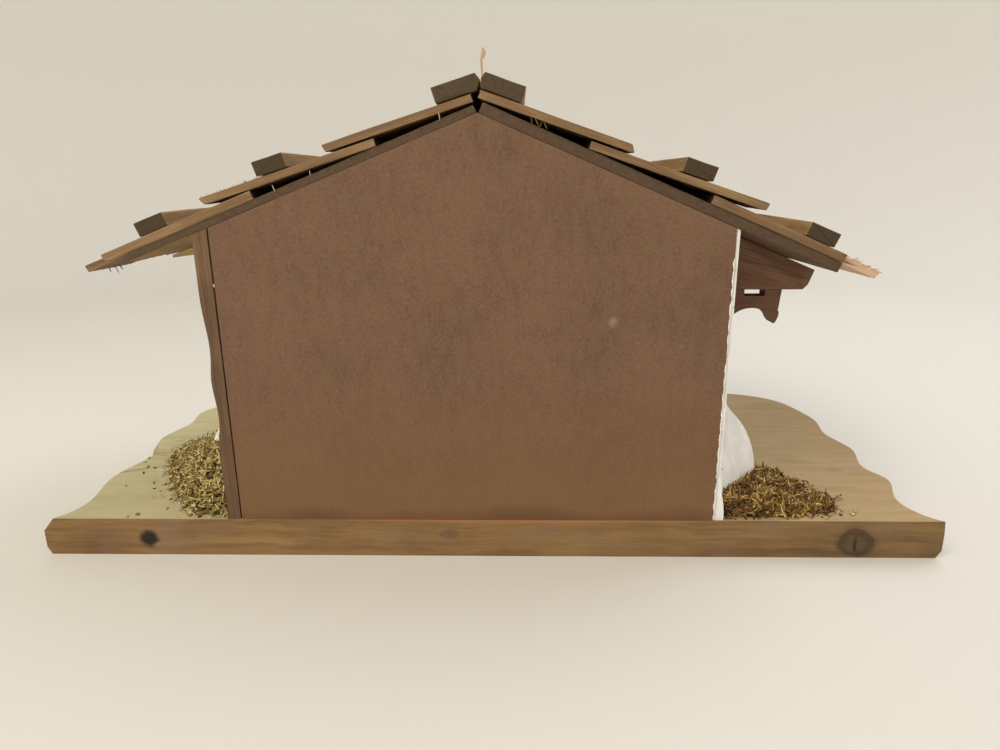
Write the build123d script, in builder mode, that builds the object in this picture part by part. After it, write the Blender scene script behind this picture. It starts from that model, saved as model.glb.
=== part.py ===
from build123d import *

import os
from dataclasses import dataclass
from math import atan2, cos, degrees, radians, sin, tan

# A handmade nativity stable with a shingle roof, on a hand-cut base board.
# Millimetres. +X runs to the plastered side, +Y to the open front, +Z up.
# The origin lies on the underside of the base board, at the middle of its width and depth.

# Base board: a planed pine board whose ends and front are cut to a wavy outline
base_width = 406.0
base_depth = 200.0
base_thickness = 18.0
base_rim_height = 6.2
base_foot_height = 3.6
timber_rim_inset = 5.2
plaster_rim_inset = 0.6
front_rim_inset = 3.0
timber_foot_inset = 1.8
plaster_foot_inset = 2.3
front_foot_inset = 1.2

# House: the rear panel closes it, and the ridge stands a little off the middle of the base
ridge_offset = -1.35
ridge_rise = 171.6
timber_half_width = 109.3
plaster_half_width = 102.1
timber_wall_height = 129.2
plaster_wall_height = 127.6
wall_depth = 125.0
panel_thickness = 4.0
timber_wall_thickness = 6.4
timber_wall_gap = 0.7
plaster_core_thickness = 6.0
plaster_coat_thickness = 1.6
plaster_coat_inset = 0.8

# Flared plaster feet along both side walls
foot_reach = 29.6
foot_height = 72.0
foot_wall_gap = 0.1

# Roof boards and hand-split shingles
roof_depth = 150.0
timber_board_length = 154.5
plaster_board_length = 156.2
timber_board_thickness = 3.2
plaster_board_thickness = 4.4
board_ridge_gap = 0.4
shingle_thickness = 3.7
shingle_gap = 0.6
shingle_skew = 1.2
butt_rounding = 1.1
timber_top_length = 61.5
plaster_top_length = 63.5
middle_course_length = 74.5
timber_eave_length = 86.0
plaster_eave_length = 82.5
timber_ridge_lap = 0.2
plaster_ridge_lap = 2.1
timber_head_lift = 1.0
plaster_head_lift = 0.5
top_course_seat_gap = 0.3
timber_middle_seat_gap = 0.1
plaster_middle_seat_gap = 0.45

# Battens that weigh the shingles down
ridge_cap_thickness = 6.0
timber_cap_width = 16.5
plaster_cap_width = 16.4
timber_cap_start = -2.3
plaster_cap_start = 0.1
timber_cap_mitre = 1.2
plaster_cap_mitre = 0.1
timber_cap_nose = 2.4
plaster_cap_nose = 1.0
batten_width = 13.0
batten_thickness = 5.8
batten_inset = 0.5

# Brackets and carved corbels under the eaves
bracket_setback = 51.0
bracket_spacing = 56.0
bracket_thickness = 8.0
plaster_bracket_reach = 52.0
plaster_bracket_height = 31.7
timber_bracket_reach = 34.0
timber_bracket_height = 10.4
bracket_tip_chamfer = 2.4
timber_tip_height = 1.4
bracket_seat_gap = 0.05
corbel_reach = 37.4
corbel_drop = 16.3
corbel_slit = 3.0

# Front gable frame
beam_size = 9.0
gable_setback = 2.0
ridge_beam_width = 8.0
ridge_beam_height = 14.0
ridge_beam_inset = 6.0
rafter_height = 8.0
king_post_width = 8.0

# Dried moss banked against the side walls
moss_seat_gap = 0.3
timber_moss_reach = 60.0
timber_moss_height = 36.0
plaster_moss_reach = 58.0
plaster_moss_height = 13.0

# Splinter that stands up from the worn nose of the plaster side's ridge cap
splinter_width = 0.7
splinter_setback = 5.0
splinter_height = 11.5
splinter_lean = 0.35
leaf_width = 3.0
leaf_height = 4.3

# Wavy outline of the base, from one rear corner round to the other: half-width share, depth share
base_outline_shares = [
    (1.0, 0.0),
    (0.965, 0.04),
    (0.95, 0.11),
    (0.985, 0.24),
    (0.965, 0.29),
    (0.99, 0.43),
    (0.967, 0.56),
    (0.984, 0.66),
    (0.97, 0.78),
    (0.94, 0.87),
    (0.86, 0.94),
    (0.70, 0.98),
    (0.42, 0.99),
    (0.10, 0.982),
    (-0.25, 0.998),
    (-0.60, 0.985),
    (-0.83, 0.92),
    (-0.945, 0.83),
    (-0.985, 0.745),
    (-0.972, 0.66),
    (-0.9993, 0.51),
    (-0.96, 0.40),
    (-0.972, 0.32),
    (-0.99, 0.23),
    (-0.968, 0.10),
    (-1.0, 0.0),
]

# Wavy outer face of the timber wall: height share, thickness share
timber_wave_shares = [
    (0.0, 0.95),
    (0.12, 0.88),
    (0.27, 0.92),
    (0.38, 0.68),
    (0.52, 0.88),
    (0.60, 0.73),
    (0.76, 0.93),
    (0.90, 0.97),
    (1.0, 1.0),
]

# Profile of a flared foot: reach share, height share
foot_profile_shares = [
    (1.0, 0.0),
    (0.96, 0.165),
    (0.75, 0.375),
    (0.47, 0.53),
    (0.37, 0.675),
    (0.13, 0.85),
    (0.0, 1.0),
]

# Sections of the flared feet from rear to front: wall depth share, reach share, height share
plaster_foot_station_shares = [
    (0.0, 0.10, 0.33),
    (0.17, 0.52, 0.75),
    (0.33, 1.0, 1.0),
    (0.60, 0.90, 0.92),
    (1.0, 0.45, 0.60),
]
timber_foot_station_shares = [
    (0.12, 0.10, 0.14),
    (0.24, 0.55, 0.58),
    (0.36, 0.90, 0.92),
    (0.60, 0.84, 0.88),
    (1.0, 0.62, 0.80),
]

# Profile of a moss bank: reach share, height share
moss_profile_shares = [(1.0, 0.0), (0.86, 0.22), (0.48, 0.66), (0.0, 1.0)]

# Sections of the moss banks: wall depth share, reach share, height share
timber_moss_station_shares = [
    (0.03, 0.32, 0.34),
    (0.16, 0.52, 0.92),
    (0.36, 0.80, 0.80),
    (0.58, 1.0, 0.55),
    (0.92, 0.55, 0.30),
]
plaster_moss_station_shares = [
    (0.03, 0.57, 0.70),
    (0.14, 1.0, 0.85),
    (0.28, 0.90, 1.0),
    (0.40, 0.75, 1.0),
    (0.50, 0.50, 0.75),
]

# Shingle columns from rear to front in each course, as shares of the roof depth
column_width_shares = {
    "top": (0.19, 0.22, 0.18, 0.23, 0.18),
    "middle": (0.15, 0.20, 0.24, 0.19, 0.22),
    "eave": (0.075, 0.245, 0.21, 0.25, 0.22),
}
column_thickness_shares = {
    "top": (0.86, 1.0, 0.92, 0.97, 0.89),
    "middle": (0.87, 0.95, 1.0, 0.90, 0.96),
    "eave": (0.98, 0.93, 1.0, 0.95, 0.90),
}
column_length_shares = {
    "top": (1.0, 0.96, 0.985, 0.95, 0.99),
    "middle": (1.0, 0.97, 0.99, 0.955, 0.98),
    "eave": (0.80, 1.0, 0.965, 0.99, 0.95),
}
column_skew_shares = (0.4, -1.0, 0.7, -0.6, 1.0)
plaster_rear_eave_share = 0.72
timber_start_shares = {"middle": 0.265, "eave": 0.612}
plaster_start_shares = {"middle": 0.284, "eave": 0.620}
timber_batten_shares = {"middle": 0.49, "eave": 0.436}
plaster_batten_shares = {"middle": 0.505, "eave": 0.49}

# Edge of a carved corbel from its outer side round the tip to the wall: reach share, drop share below its top
corbel_edge_shares = [
    (0.975, 0.62),
    (0.968, 0.90),
    (0.93, 1.0),
    (0.89, 0.92),
    (0.856, 0.78),
    (0.787, 0.63),
    (0.65, 0.54),
    (0.48, 0.63),
    (0.37, 0.81),
    (0.10, 1.08),
]
corbel_wall_share = 1.16
slit_start_share = 0.53
slit_end_share = 0.79

# Nose of a ridge cap up its thickness, and the splinter's foot along the slope above the nose
cap_nose_share = 0.56
splinter_foot_shares = (0.05, 0.43)

# Places worked out from the sizes above
rear_y = -base_depth / 2
floor_z = base_thickness
apex_z = floor_z + ridge_rise
timber_pitch = degrees(atan2(ridge_rise - timber_wall_height, timber_half_width))
plaster_pitch = degrees(atan2(ridge_rise - plaster_wall_height, plaster_half_width))
panel_timber_x = ridge_offset - timber_half_width
panel_plaster_x = ridge_offset + plaster_half_width
timber_inner_x = panel_timber_x - timber_wall_gap
timber_outer_x = timber_inner_x - timber_wall_thickness
core_inner_x = panel_plaster_x - plaster_core_thickness
coat_outer_x = panel_plaster_x + plaster_coat_thickness
gable_front_y = rear_y + wall_depth - gable_setback
gable_rear_y = gable_front_y - beam_size

os.makedirs("parts", exist_ok=True)


@dataclass(frozen=True)
class Slope:
    """One roof slope: which way it falls, and how its boards and shingle courses lie."""

    side: str
    turn: int
    pitch: float
    board_length: float
    board_thickness: float
    ridge_lap: float
    head_lift: float
    middle_seat_gap: float
    course_lengths: dict
    start_shares: dict
    batten_shares: dict
    cap_width: float
    cap_start: float
    cap_mitre: float
    cap_nose: float
    rear_eave_share: float

    def point(self, along, above):
        """X and Z of a place along the slope from the ridge and above the board's underside."""
        lean = radians(self.pitch)
        x = ridge_offset + self.turn * (along * cos(lean) + above * sin(lean))
        z = apex_z - along * sin(lean) + above * cos(lean)
        return x, z

    def plane(self, along, above, lift_angle):
        """Plane that faces up from the slope, with x down the slope, raised by the lift angle."""
        lean = radians(self.pitch - lift_angle)
        x, z = self.point(along, above)
        down = (self.turn * cos(lean), 0, -sin(lean))
        up = (self.turn * sin(lean), 0, cos(lean))
        return Plane(origin=(x, rear_y, z), x_dir=down, z_dir=up)

    def course(self, name):
        """Start of a course along the slope, height of its head, and its lift angle."""
        seat = self.board_thickness
        middle_start = self.board_length * self.start_shares["middle"]
        eave_start = self.board_length * self.start_shares["eave"]
        if name == "eave":
            return eave_start, seat, 0.0
        if name == "middle":
            rise = shingle_thickness + self.middle_seat_gap
            return middle_start, seat, degrees(atan2(rise, eave_start - middle_start))
        rise = shingle_thickness + top_course_seat_gap - self.head_lift
        run = middle_start + self.ridge_lap
        return -self.ridge_lap, seat + self.head_lift, degrees(atan2(rise, run))

    def cap_points(self):
        """X and Z of a ridge cap's corners, from the foot of its inner face round to its worn nose."""
        cap_end = self.cap_start + self.cap_width
        corners = [
            (self.cap_start, 0, 0),
            (cap_end, 0, 0),
            (cap_end, 0, ridge_cap_thickness),
            (self.cap_start - self.cap_mitre, 0, ridge_cap_thickness),
            (self.cap_start - self.cap_nose, 0, ridge_cap_thickness * cap_nose_share),
        ]
        bed = self.plane(*self.course("top")).offset(shingle_thickness)
        places = [bed.from_local_coords(corner) for corner in corners]
        return [(place.X, place.Z) for place in places]


timber_slope = Slope(
    side="timber",
    turn=-1,
    pitch=timber_pitch,
    board_length=timber_board_length,
    board_thickness=timber_board_thickness,
    ridge_lap=timber_ridge_lap,
    head_lift=timber_head_lift,
    middle_seat_gap=timber_middle_seat_gap,
    course_lengths={
        "top": timber_top_length,
        "middle": middle_course_length,
        "eave": timber_eave_length,
    },
    start_shares=timber_start_shares,
    batten_shares=timber_batten_shares,
    cap_width=timber_cap_width,
    cap_start=timber_cap_start,
    cap_mitre=timber_cap_mitre,
    cap_nose=timber_cap_nose,
    rear_eave_share=column_length_shares["eave"][0],
)
plaster_slope = Slope(
    side="plaster",
    turn=1,
    pitch=plaster_pitch,
    board_length=plaster_board_length,
    board_thickness=plaster_board_thickness,
    ridge_lap=plaster_ridge_lap,
    head_lift=plaster_head_lift,
    middle_seat_gap=plaster_middle_seat_gap,
    course_lengths={
        "top": plaster_top_length,
        "middle": middle_course_length,
        "eave": plaster_eave_length,
    },
    start_shares=plaster_start_shares,
    batten_shares=plaster_batten_shares,
    cap_width=plaster_cap_width,
    cap_start=plaster_cap_start,
    cap_mitre=plaster_cap_mitre,
    cap_nose=plaster_cap_nose,
    rear_eave_share=plaster_rear_eave_share,
)


def save(piece, name):
    """Label a finished piece and write it to its own file."""
    piece.label = name
    export_step(piece, f"parts/{name}.step")


def upright(setback):
    """Vertical plane across the stable, the given distance in from its rear face."""
    return Plane.XZ.offset(-(rear_y + setback))


def roof_z(x):
    """Height of the roof boards' underside above a place across the stable."""
    pitch = timber_pitch if x < ridge_offset else plaster_pitch
    return apex_z - abs(x - ridge_offset) * tan(radians(pitch))


def extrude_profile(points, setback, depth):
    """Closed outline of straight edges across the stable, carried forward by the given depth."""
    with BuildPart() as profile:
        with BuildSketch(upright(setback)):
            with BuildLine():
                Polyline(*points, close=True)
            make_face()
        extrude(amount=-depth)
    return profile.part


def base_outline(height, timber_inset, plaster_inset, front_inset):
    """Outline of the base at a height: straight rear edge, wavy ends and front, drawn in by the insets."""
    timber_reach = base_width / 2 - timber_inset
    plaster_reach = base_width / 2 - plaster_inset
    depth = base_depth - front_inset
    rim = [
        ((timber_reach if across < 0 else plaster_reach) * across, rear_y + depth * forward)
        for across, forward in base_outline_shares
    ]
    with BuildSketch(Plane.XY.offset(height)) as outline:
        with BuildLine():
            Line(rim[-1], rim[0])
            Spline(*rim)
        make_face()
    return outline.sketch


# Base board, worn to a slope above and below all round but for the straight rear edge
base_rim_z = base_thickness - base_rim_height
foot_outline = base_outline(0, timber_foot_inset, plaster_foot_inset, front_foot_inset)
lower_outline = base_outline(base_foot_height, 0, 0, 0)
upper_outline = base_outline(base_rim_z, 0, 0, 0)
rim_outline = base_outline(base_thickness, timber_rim_inset, plaster_rim_inset, front_rim_inset)
with BuildPart() as base_board:
    loft([foot_outline, lower_outline])
    extrude(lower_outline, amount=base_rim_z - base_foot_height)
    loft([upper_outline, rim_outline])
save(base_board.part, "base_board")

# Rear panel, cut to the two roof pitches
panel_points = [
    (panel_timber_x, floor_z),
    (panel_plaster_x, floor_z),
    (panel_plaster_x, roof_z(panel_plaster_x)),
    (ridge_offset, apex_z),
    (panel_timber_x, roof_z(panel_timber_x)),
]
save(extrude_profile(panel_points, 0, panel_thickness), "rear_panel")

# Timber side wall, its outer face left wavy
with BuildPart() as timber_side_wall:
    with BuildSketch(upright(0)):
        with BuildLine():
            wall_height = roof_z(timber_outer_x) - floor_z
            wave = [
                (timber_inner_x - timber_wall_thickness * out, floor_z + wall_height * up)
                for up, out in timber_wave_shares
            ]
            Spline(*wave)
            Polyline(
                wave[0],
                (timber_inner_x, floor_z),
                (timber_inner_x, roof_z(timber_inner_x)),
                wave[-1],
            )
        make_face()
    extrude(amount=-wall_depth)
save(timber_side_wall.part, "timber_side_wall")

# Plastered side: a board core behind the rear panel's edge
core_points = [
    (core_inner_x, floor_z),
    (panel_plaster_x, floor_z),
    (panel_plaster_x, roof_z(panel_plaster_x)),
    (core_inner_x, roof_z(core_inner_x)),
]
core_depth = wall_depth - panel_thickness
save(extrude_profile(core_points, panel_thickness, core_depth), "plaster_wall_core")


def bank_sections(profile_shares, station_shares, wall_x, turn, reach, height, rear_inset):
    """Sketches of a bank that leans on a wall: a curve from its toe up the wall, at each station."""
    sketches = []
    for depth, reach_share, height_share in station_shares:
        setback = rear_inset + (wall_depth - rear_inset) * depth
        slope = [
            (wall_x + turn * reach * reach_share * out, floor_z + height * height_share * up)
            for out, up in profile_shares
        ]
        with BuildSketch(upright(setback)) as section:
            with BuildLine():
                Spline(*slope)
                Polyline(slope[-1], (wall_x, floor_z), slope[0])
            make_face()
        sketches.append(section.sketch)
    return sketches


# Plaster coat on the core, running out into a flared foot
coat_points = [
    (panel_plaster_x, floor_z),
    (coat_outer_x, floor_z),
    (coat_outer_x, roof_z(coat_outer_x)),
    (panel_plaster_x, roof_z(panel_plaster_x)),
]
coat_slab = extrude_profile(coat_points, plaster_coat_inset, wall_depth - plaster_coat_inset)
plaster_foot_sections = bank_sections(
    foot_profile_shares,
    plaster_foot_station_shares,
    coat_outer_x,
    1,
    foot_reach,
    foot_height,
    plaster_coat_inset,
)
with BuildPart() as plaster_coat:
    add(coat_slab)
    loft(plaster_foot_sections)
save(plaster_coat.part, "plaster_coat")

# Flared foot against the timber wall
timber_foot_x = timber_outer_x - foot_wall_gap
timber_foot_sections = bank_sections(
    foot_profile_shares,
    timber_foot_station_shares,
    timber_foot_x,
    -1,
    foot_reach,
    foot_height,
    plaster_coat_inset,
)
with BuildPart() as timber_foot:
    loft(timber_foot_sections)
save(timber_foot.part, "timber_wall_foot")

# Moss banked over the feet
timber_moss_sections = bank_sections(
    moss_profile_shares,
    timber_moss_station_shares,
    timber_foot_x,
    -1,
    timber_moss_reach,
    timber_moss_height,
    0,
)
with BuildPart() as timber_moss:
    loft(timber_moss_sections)
    add(timber_foot.part, mode=Mode.SUBTRACT)
save(timber_moss.part, "moss_timber_side")
plaster_moss_x = coat_outer_x + moss_seat_gap
plaster_moss_sections = bank_sections(
    moss_profile_shares,
    plaster_moss_station_shares,
    plaster_moss_x,
    1,
    plaster_moss_reach,
    plaster_moss_height,
    0,
)
with BuildPart() as plaster_moss:
    loft(plaster_moss_sections)
    add(plaster_coat.part, mode=Mode.SUBTRACT)
save(plaster_moss.part, "moss_plaster_side")


def roof_strip(plane, turn, start, end, rear, front, thickness):
    """Straight board that lies on a roof plane between two places down the slope and two depths."""
    with BuildPart() as strip:
        with BuildSketch(plane):
            with BuildLine():
                Polyline(
                    (start, turn * rear),
                    (end, turn * rear),
                    (end, turn * front),
                    (start, turn * front),
                    close=True,
                )
            make_face()
        extrude(amount=thickness)
    return strip.part


def make_shingle(plane, turn, rear, front, length, skew, thickness):
    """Split shingle with a skewed, rounded butt at its lower end."""
    with BuildPart() as shingle:
        with BuildSketch(plane):
            with BuildLine():
                Polyline(
                    (0, turn * rear),
                    (length + skew, turn * rear),
                    (length - skew, turn * front),
                    (0, turn * front),
                    close=True,
                )
            make_face()
        extrude(amount=thickness)
        top_edges = shingle.edges().group_by(Axis(plane.origin, plane.z_dir))[-1]
        butt_edge = top_edges.sort_by(Axis(plane.origin, plane.x_dir))[-1]
        fillet(butt_edge, butt_rounding)
    return shingle.part


for slope in (timber_slope, plaster_slope):
    # Roof board, stopped short of the ridge
    board_plane = slope.plane(0, 0, 0)
    board = roof_strip(
        board_plane,
        slope.turn,
        board_ridge_gap,
        slope.board_length,
        0,
        roof_depth,
        slope.board_thickness,
    )
    save(board, f"{slope.side}_roof_board")

    # Three courses of shingles, laid in columns from the rear to the front
    for course in ("top", "middle", "eave"):
        start, seat, lift_angle = slope.course(course)
        course_plane = slope.plane(start, seat, lift_angle)
        rear_edge = 0
        for column, width_share in enumerate(column_width_shares[course]):
            front_edge = rear_edge + roof_depth * width_share
            length_share = column_length_shares[course][column]
            if course == "eave" and column == 0:
                length_share = slope.rear_eave_share
            shingle = make_shingle(
                course_plane,
                slope.turn,
                rear_edge,
                front_edge - shingle_gap,
                slope.course_lengths[course] * length_share,
                shingle_skew * column_skew_shares[column],
                shingle_thickness * column_thickness_shares[course][column],
            )
            save(shingle, f"{slope.side}_{course}_shingle_{column + 1}")
            rear_edge = front_edge

        # A cap or batten rests on the thickest shingles of each course
        top_plane = course_plane.offset(shingle_thickness)
        if course == "top":
            save(extrude_profile(slope.cap_points(), 0, roof_depth), f"{slope.side}_ridge_cap")
        else:
            batten_start = slope.course_lengths[course] * slope.batten_shares[course]
            batten = roof_strip(
                top_plane,
                slope.turn,
                batten_start,
                batten_start + batten_width,
                batten_inset,
                roof_depth - batten_inset,
                batten_thickness,
            )
            save(batten, f"{slope.side}_{course}_batten")

# Brackets and corbels under the eaves, one pair near the rear and one near the front
bracket_seat_x = coat_outer_x + bracket_seat_gap
plaster_tip_x = bracket_seat_x + plaster_bracket_reach
plaster_bracket_z = roof_z(bracket_seat_x) - plaster_bracket_height
plaster_bracket_points = [
    (bracket_seat_x, plaster_bracket_z),
    (plaster_tip_x - 2 * bracket_tip_chamfer, plaster_bracket_z),
    (plaster_tip_x - bracket_tip_chamfer, plaster_bracket_z + bracket_tip_chamfer),
    (plaster_tip_x, roof_z(plaster_tip_x)),
    (bracket_seat_x, roof_z(bracket_seat_x)),
]
timber_seat_x = timber_outer_x - bracket_seat_gap
timber_tip_x = timber_seat_x - timber_bracket_reach
timber_bracket_z = roof_z(timber_seat_x) - timber_bracket_height
timber_bracket_points = [
    (timber_seat_x, timber_bracket_z),
    (timber_tip_x, roof_z(timber_tip_x) - timber_tip_height),
    (timber_tip_x, roof_z(timber_tip_x)),
    (timber_seat_x, roof_z(timber_seat_x)),
]
bracket_setbacks = {"rear": bracket_setback, "front": bracket_setback + bracket_spacing}
for place, setback in bracket_setbacks.items():
    plaster_bracket = extrude_profile(plaster_bracket_points, setback, bracket_thickness)
    save(plaster_bracket, f"plaster_eave_bracket_{place}")
    timber_bracket = extrude_profile(timber_bracket_points, setback, bracket_thickness)
    save(timber_bracket, f"timber_eave_bracket_{place}")

    # Corbel: a rounded drop at the outer tip, an arch beside it, and a slit of light above
    with BuildPart() as corbel:
        with BuildSketch(upright(setback)):
            with BuildLine():
                outer_x = bracket_seat_x + corbel_reach
                slit_start_x = bracket_seat_x + corbel_reach * slit_start_share
                slit_end_x = bracket_seat_x + corbel_reach * slit_end_share
                slit_z = plaster_bracket_z - corbel_slit
                edge = [
                    (bracket_seat_x + corbel_reach * out, plaster_bracket_z - corbel_drop * down)
                    for out, down in corbel_edge_shares
                ]
                wall_toe = (bracket_seat_x, plaster_bracket_z - corbel_drop * corbel_wall_share)
                Spline(*edge)
                Polyline(
                    edge[-1],
                    wall_toe,
                    (bracket_seat_x, plaster_bracket_z),
                    (slit_start_x, plaster_bracket_z),
                    (slit_start_x, slit_z),
                    (slit_end_x, slit_z),
                    (slit_end_x, plaster_bracket_z),
                    (outer_x, plaster_bracket_z),
                    edge[0],
                )
            make_face()
        extrude(amount=-bracket_thickness)
    save(corbel.part, f"corbel_{place}")

# Front gable frame: ridge beam, tie beam on two posts, king post and rafters
beam_timber_x = ridge_offset - ridge_beam_width / 2
beam_plaster_x = ridge_offset + ridge_beam_width / 2
beam_bottom_z = apex_z - ridge_beam_height
ridge_beam_points = [
    (beam_timber_x, beam_bottom_z),
    (beam_plaster_x, beam_bottom_z),
    (beam_plaster_x, roof_z(beam_plaster_x)),
    (ridge_offset, apex_z),
    (beam_timber_x, roof_z(beam_timber_x)),
]
ridge_beam_length = roof_depth - ridge_beam_inset - panel_thickness
save(extrude_profile(ridge_beam_points, panel_thickness, ridge_beam_length), "ridge_beam")

rafter_drops = {
    "timber": rafter_height / cos(radians(timber_pitch)),
    "plaster": rafter_height / cos(radians(plaster_pitch)),
}
tie_top_z = min(
    roof_z(timber_inner_x) - rafter_drops["timber"],
    roof_z(core_inner_x) - rafter_drops["plaster"],
)
tie_bottom_z = tie_top_z - beam_size
frame_setback = gable_rear_y - rear_y


def frame_block(low_x, high_x, low_z, high_z):
    """Square-cut member of the gable frame, one beam thick."""
    points = [(low_x, low_z), (high_x, low_z), (high_x, high_z), (low_x, high_z)]
    return extrude_profile(points, frame_setback, beam_size)


timber_post_x = timber_inner_x + beam_size
plaster_post_x = core_inner_x - beam_size
king_timber_x = ridge_offset - king_post_width / 2
king_plaster_x = ridge_offset + king_post_width / 2
save(frame_block(timber_inner_x, core_inner_x, tie_bottom_z, tie_top_z), "front_tie_beam")
save(frame_block(timber_inner_x, timber_post_x, floor_z, tie_bottom_z), "timber_front_post")
save(frame_block(plaster_post_x, core_inner_x, floor_z, tie_bottom_z), "plaster_front_post")
save(frame_block(king_timber_x, king_plaster_x, tie_top_z, beam_bottom_z), "king_post")
rafter_ends = {
    "timber": (timber_inner_x, beam_timber_x),
    "plaster": (core_inner_x, beam_plaster_x),
}
for side, (wall_x, beam_x) in rafter_ends.items():
    drop = rafter_drops[side]
    rafter_points = [
        (wall_x, roof_z(wall_x) - drop),
        (wall_x, roof_z(wall_x)),
        (beam_x, roof_z(beam_x)),
        (beam_x, roof_z(beam_x) - drop),
    ]
    save(extrude_profile(rafter_points, frame_setback, beam_size), f"{side}_front_rafter")

# Splinter with a leaf-shaped tip, standing on the slope between the plaster cap's nose and its top
cap_top, cap_nose = plaster_slope.cap_points()[-2:]
foot_corners = [
    (cap_nose[0] + share * (cap_top[0] - cap_nose[0]), cap_nose[1] + share * (cap_top[1] - cap_nose[1]))
    for share in splinter_foot_shares
]
with BuildPart() as splinter:
    with BuildSketch(upright(splinter_setback)):
        with BuildLine():
            neck_x = foot_corners[0][0] - splinter_lean
            tip_z = cap_nose[1] + splinter_height
            neck_z = tip_z - leaf_height
            tip = (neck_x + splinter_width, tip_z)
            timber_neck = (neck_x, neck_z)
            plaster_neck = (neck_x + splinter_width, neck_z)
            Polyline(timber_neck, *foot_corners, plaster_neck)
            Spline(plaster_neck, (neck_x + leaf_width, neck_z + leaf_height / 2), tip)
            Line(tip, timber_neck)
        make_face()
    extrude(amount=-splinter_width)
save(splinter.part, "ridge_splinter")
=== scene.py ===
"""A handmade nativity stable, dressed for rendering from its closed back.

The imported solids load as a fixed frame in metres: +X runs to the plastered side, +Y to the open front and +Z up.
Straight timber is rebuilt with worn edges, shingles with split faces and moss as loose flakes. The panel, the base
and the carved pieces keep their solids and take a finish.
"""

import logging
import math
from dataclasses import dataclass, field
from enum import Enum
from typing import Any

import bpy
import numpy as np
from mathutils import Matrix, Vector


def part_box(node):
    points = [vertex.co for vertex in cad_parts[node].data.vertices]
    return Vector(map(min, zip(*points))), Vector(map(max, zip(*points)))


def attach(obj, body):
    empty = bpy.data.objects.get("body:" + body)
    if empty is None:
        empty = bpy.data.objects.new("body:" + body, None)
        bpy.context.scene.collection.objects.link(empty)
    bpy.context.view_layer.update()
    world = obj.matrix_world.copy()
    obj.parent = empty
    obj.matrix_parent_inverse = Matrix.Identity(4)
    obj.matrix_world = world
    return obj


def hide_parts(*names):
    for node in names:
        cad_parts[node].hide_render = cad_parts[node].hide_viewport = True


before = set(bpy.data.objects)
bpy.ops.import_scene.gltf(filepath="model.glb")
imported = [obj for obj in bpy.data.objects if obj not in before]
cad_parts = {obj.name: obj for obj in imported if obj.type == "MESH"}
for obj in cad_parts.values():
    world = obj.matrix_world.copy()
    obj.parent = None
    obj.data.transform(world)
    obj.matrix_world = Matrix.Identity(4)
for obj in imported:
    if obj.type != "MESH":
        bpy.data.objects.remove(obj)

LOG = logging.getLogger("stable")
MM = 0.001
BODY = "root"

REAR = -100 * MM
POINT_DECIMALS = 6
OUTLINE_DECIMALS = 7
BACKWARD = (0.0, -1.0, 0.0)
MULTIPLY = "MULTIPLY"
MULTIPLY_ADD = "MULTIPLY_ADD"

Array = np.ndarray
Socket = bpy.types.NodeSocket
Material = bpy.types.Material
Stock = dict[str, Material]


class Grain(Enum):
    """Which way the fibres of a piece run."""

    DEPTH = "depth"
    SLOPE = "slope"
    UPRIGHT = "upright"


class Coords(Enum):
    """Where a finish takes its pattern's place from."""

    OBJECT = "object"
    GRAIN = "grain"


def mm(*values: float) -> tuple[float, ...]:
    """Lengths in metres of lengths in millimetres."""
    return tuple(value * MM for value in values)


def linear(code: str) -> tuple[float, float, float, float]:
    """Linear red, green, blue and alpha of an sRGB hex code such as "#7E5D46", by the sRGB curve."""
    srgb = np.array([int(code[i : i + 2], 16) for i in (1, 3, 5)]) / 255
    values = np.where(srgb <= 0.04045, srgb / 12.92, ((srgb + 0.055) / 1.055) ** 2.4)
    return (*map(float, values), 1.0)


def unit(vectors: Array) -> Array:
    """Vectors of length one along the given ones."""
    return vectors / np.linalg.norm(vectors, axis=-1, keepdims=True)


def waves(points: Array, wavelength: Any, seed: int, count: int = 7) -> Array:
    """Smooth noise at each point, from about -1 to 1.

    The noise is the scaled mean of sines of k . p + phase, where each k is a random direction divided by the
    wavelength along each axis, and 0.6 to 1.6 times as long.

    Args:
        points: Places, in metres, in the last axis.
        wavelength: One length in metres, or one for each axis.
        seed: Seed of the random directions.
        count: Number of sines.

    Returns:
        One value for each point.
    """
    dice = np.random.default_rng(seed)
    turns = unit(dice.normal(size=(count, 3)))
    reach = dice.uniform(0.6, 1.6, size=(count, 1))
    k = 2 * np.pi * turns * reach / np.asarray(wavelength)
    phase = dice.uniform(0, 2 * np.pi, size=count)
    return np.sin(points @ k.T + phase).mean(axis=-1) * math.sqrt(count / 2)


def smooth_step(low: float, high: float, values: Array) -> Array:
    """Zero below low, one above high, and a smooth cubic between them."""
    t = np.clip((values - low) / (high - low), 0, 1)
    return t * t * (3 - 2 * t)


def node_points(node: str) -> Array:
    """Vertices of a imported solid, in metres."""
    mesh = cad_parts[node].data
    points = np.empty(len(mesh.vertices) * 3)
    mesh.vertices.foreach_get("co", points)
    return points.reshape(-1, 3)


def node_triangles(node: str) -> Array:
    """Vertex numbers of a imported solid's triangles."""
    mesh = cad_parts[node].data
    mesh.calc_loop_triangles()
    corners = np.empty(len(mesh.loop_triangles) * 3, np.int32)
    mesh.loop_triangles.foreach_get("vertices", corners)
    return corners.reshape(-1, 3)


def welded(node: str) -> tuple[Array, list]:
    """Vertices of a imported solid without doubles, and its triangles between them."""
    places, same = np.unique(np.round(node_points(node), POINT_DECIMALS), axis=0, return_inverse=True)
    return places, same.ravel()[node_triangles(node)].tolist()


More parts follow.
